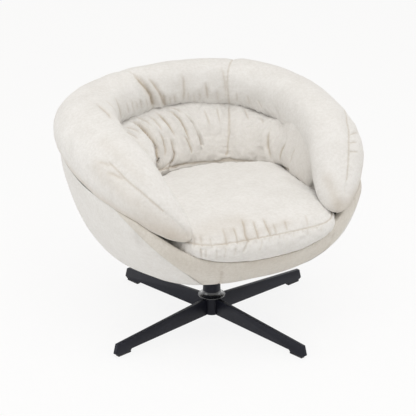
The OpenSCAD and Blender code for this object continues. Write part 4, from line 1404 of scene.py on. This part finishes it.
def makeStitchTree():
    g = bpy.data.node_groups.new("stitchRow", "GeometryNodeTree")
    g.interface.new_socket("Geometry", in_out="INPUT", socket_type="NodeSocketGeometry")
    sockets = {name: socketIn(g, name, "NodeSocketFloat", value).identifier
               for name, value in stitching.items()}
    sockets["Material"] = socketIn(g, "Material", "NodeSocketMaterial").identifier
    g.interface.new_socket("Geometry", in_out="OUTPUT", socket_type="NodeSocketGeometry")
    start, end = g.nodes.new("NodeGroupInput"), g.nodes.new("NodeGroupOutput")
    curve, even, tangent, thread, spots, real, paint = (g.nodes.new("GeometryNode" + kind) for kind in (
        "MeshToCurve", "ResampleCurve", "InputTangent", "MeshCylinder", "InstanceOnPoints",
        "RealizeInstances", "SetMaterial"))
    even.mode = "LENGTH"
    thread.inputs["Vertices"].default_value = stitchPlace["sides"]
    align = g.nodes.new("FunctionNodeAlignRotationToVector")
    align.axis = "Z"
    for source, out, target, into in (
            (start, "Geometry", curve, "Mesh"), (curve, "Curve", even, "Curve"),
            (start, "Pitch", even, "Length"), (start, "Length", thread, "Depth"),
            (start, "Thickness", thread, "Radius"), (tangent, "Tangent", align, "Vector"),
            (even, "Curve", spots, "Points"), (thread, "Mesh", spots, "Instance"),
            (align, "Rotation", spots, "Rotation"), (spots, "Instances", real, "Geometry"),
            (real, "Geometry", paint, "Geometry"), (start, "Material", paint, "Material"),
            (paint, "Geometry", end, "Geometry")):
        g.links.new(source.outputs[out], target.inputs[into])
    return g, sockets


stitchTree, stitchSockets = makeStitchTree()


# Rows of stitches lie on the finished cloth, a little to one side of the seam
def stitchRows(name, rows):
    verts, edges = [], []
    for cloth, line, offset in rows:
        tree = treeOf(cloth)
        previous = None
        for k in range(1, len(line) - 1):
            spot, normal, _, _ = tree.find_nearest(Vector(line[k]) / 1000)
            along = Vector(line[k + 1] - line[k - 1])
            if along.length < 1e-6:
                continue
            shifted = spot + along.cross(normal).normalized() * offset
            spot, normal, _, _ = tree.find_nearest(shifted)
            verts.append(spot + normal * stitchPlace["above"])
            if previous is not None:
                edges.append((previous, len(verts) - 1))
            previous = len(verts) - 1
    mesh = bpy.data.meshes.new(name)
    mesh.from_pydata(verts, edges, [])
    piece = placed(name, mesh)
    rowsOf = piece.modifiers.new("stitches", "NODES")
    rowsOf.node_group = stitchTree
    for key, value in stitching.items():
        rowsOf[stitchSockets[key]] = value
    rowsOf[stitchSockets["Material"]] = materials["offWhiteLinenBandPaintedShade"]
    settled(piece)
    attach(piece, "seat")


stitchRows("bandStitches", [(bandCloth, line, side * stitchPlace["besideBand"])
                            for line in bandSeams for side in (-1, 1)])
stitchRows("rollStitches", [(rollCloth, line, stitchPlace["besideSeam"]) for line in armSeams])
stitchRows("seatStitches", [(seatCloth, seatSeam, -stitchPlace["besideSeam"])])
print("stitches made")

for piece, node, finish, slotName, fill in (
        (rollCloth, "arm_back_roll", "offWhiteLinen", "upholstery", 0.75),
        (padCloth, "back_cushion", "offWhiteLinen", "upholstery", 0.6),
        (seatCloth, "seat_cushion", "offWhiteLinen", "upholstery", 0.7),
        (sideCloth, "shell_cover", "offWhiteLinen", "upholstery", 0.95),
        (bandCloth, "front_band_cover", "offWhiteLinenBandPaintedShade", "upholstery_band", 0.95)):
    dress(piece, finish)
    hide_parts(node)
    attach(piece, "seat")
print("cloth dressed")


# Plain pale studio
studio = {"floorSize": 30.0, "floorColour": 0.86, "floorRough": 0.9, "floorGlow": 0.86, "skyLow": 0.33,
          "skyHigh": 0.84, "worldColour": (1.0, 0.957, 0.897), "aim": (0, 0, 0.42),
          "lamps": {
              "top": {"place": (-0.5, -1.5, 3.6), "size": 2.6, "power": 46, "colour": (0.985, 0.99, 1)},
              "left": {"place": (-3.3, 0.5, 0.8), "size": 2.2, "power": 26, "colour": (0.97, 0.985, 1)},
              "right": {"place": (3.1, -0.9, 0.9), "size": 2.0, "power": 14, "colour": (0.97, 0.985, 1)},
              "front": {"place": (2.2, -3.2, 1.9), "size": 2.4, "power": 3, "colour": (1, 0.99, 0.97)}}}


# One where the ray is of a kind named, otherwise nought
def rayMask(tree, *kinds):
    light = tree.nodes.new("ShaderNodeLightPath")
    mask = light.outputs[kinds[0]]
    for kind in kinds[1:]:
        mask = mathNode(tree, "MAXIMUM", mask, light.outputs[kind])
    return mask


def makeFloor():
    s = studio
    half = s["floorSize"] / 2
    corners = [(x, y, 0) for x, y in ((-half, -half), (half, -half), (half, half), (-half, half))]
    mesh = bpy.data.meshes.new("studioFloor")
    mesh.from_pydata(corners, [], [(0, 1, 2, 3)])
    floor = placed("studioFloor", mesh)
    m = bpy.data.materials.new("paleFloor")
    m.use_nodes = True
    tree = m.node_tree
    shader = tree.nodes["Principled BSDF"]
    setInputs(shader, Base_Color=(s["floorColour"],) * 3 + (1,), Roughness=s["floorRough"])
    glow = tree.nodes.new("ShaderNodeEmission")
    blend = tree.nodes.new("ShaderNodeMixShader")
    seen = rayMask(tree, "Is Camera Ray", "Is Glossy Ray")
    tree.links.new(mathNode(tree, "MULTIPLY", seen, s["floorGlow"]), blend.inputs[0])
    tree.links.new(shader.outputs[0], blend.inputs[1])
    tree.links.new(glow.outputs[0], blend.inputs[2])
    tree.links.new(blend.outputs[0], tree.nodes["Material Output"].inputs["Surface"])
    mesh.materials.append(m)


# The sky is brighter above; a camera or a shiny surface sees it plain white
def makeWorld():
    world = bpy.data.worlds.new("softWorld")
    scene.world = world
    world.use_nodes = True
    tree = world.node_tree
    back = tree.nodes["Background"]
    seen = rayMask(tree, "Is Camera Ray", "Is Glossy Ray", "Is Transmission Ray")
    tree.links.new(colourMix(tree, seen, studio["worldColour"], (1, 1, 1)), back.inputs["Color"])
    height = tree.nodes.new("ShaderNodeSeparateXYZ")
    tree.links.new(tree.nodes.new("ShaderNodeTexCoord").outputs["Generated"], height.inputs[0])
    sky = spread(tree, height.outputs["Z"], 0, 1, studio["skyLow"], studio["skyHigh"])
    tree.links.new(mathNode(tree, "MAXIMUM", sky, seen), back.inputs["Strength"])


def makeLamps():
    for name, lamp in studio["lamps"].items():
        data = bpy.data.lights.new(name + "Lamp", "AREA")
        data.energy, data.size, data.color = lamp["power"], lamp["size"], lamp["colour"]
        held = placed(name + "Lamp", data)
        aim = Vector(studio["aim"]) - Vector(lamp["place"])
        turn = aim.to_track_quat("-Z", "Y").to_matrix().to_4x4()
        held.matrix_world = Matrix.Translation(lamp["place"]) @ turn


makeFloor()
makeWorld()
makeLamps()
scene.view_settings.view_transform = "Standard"
print("studio made")
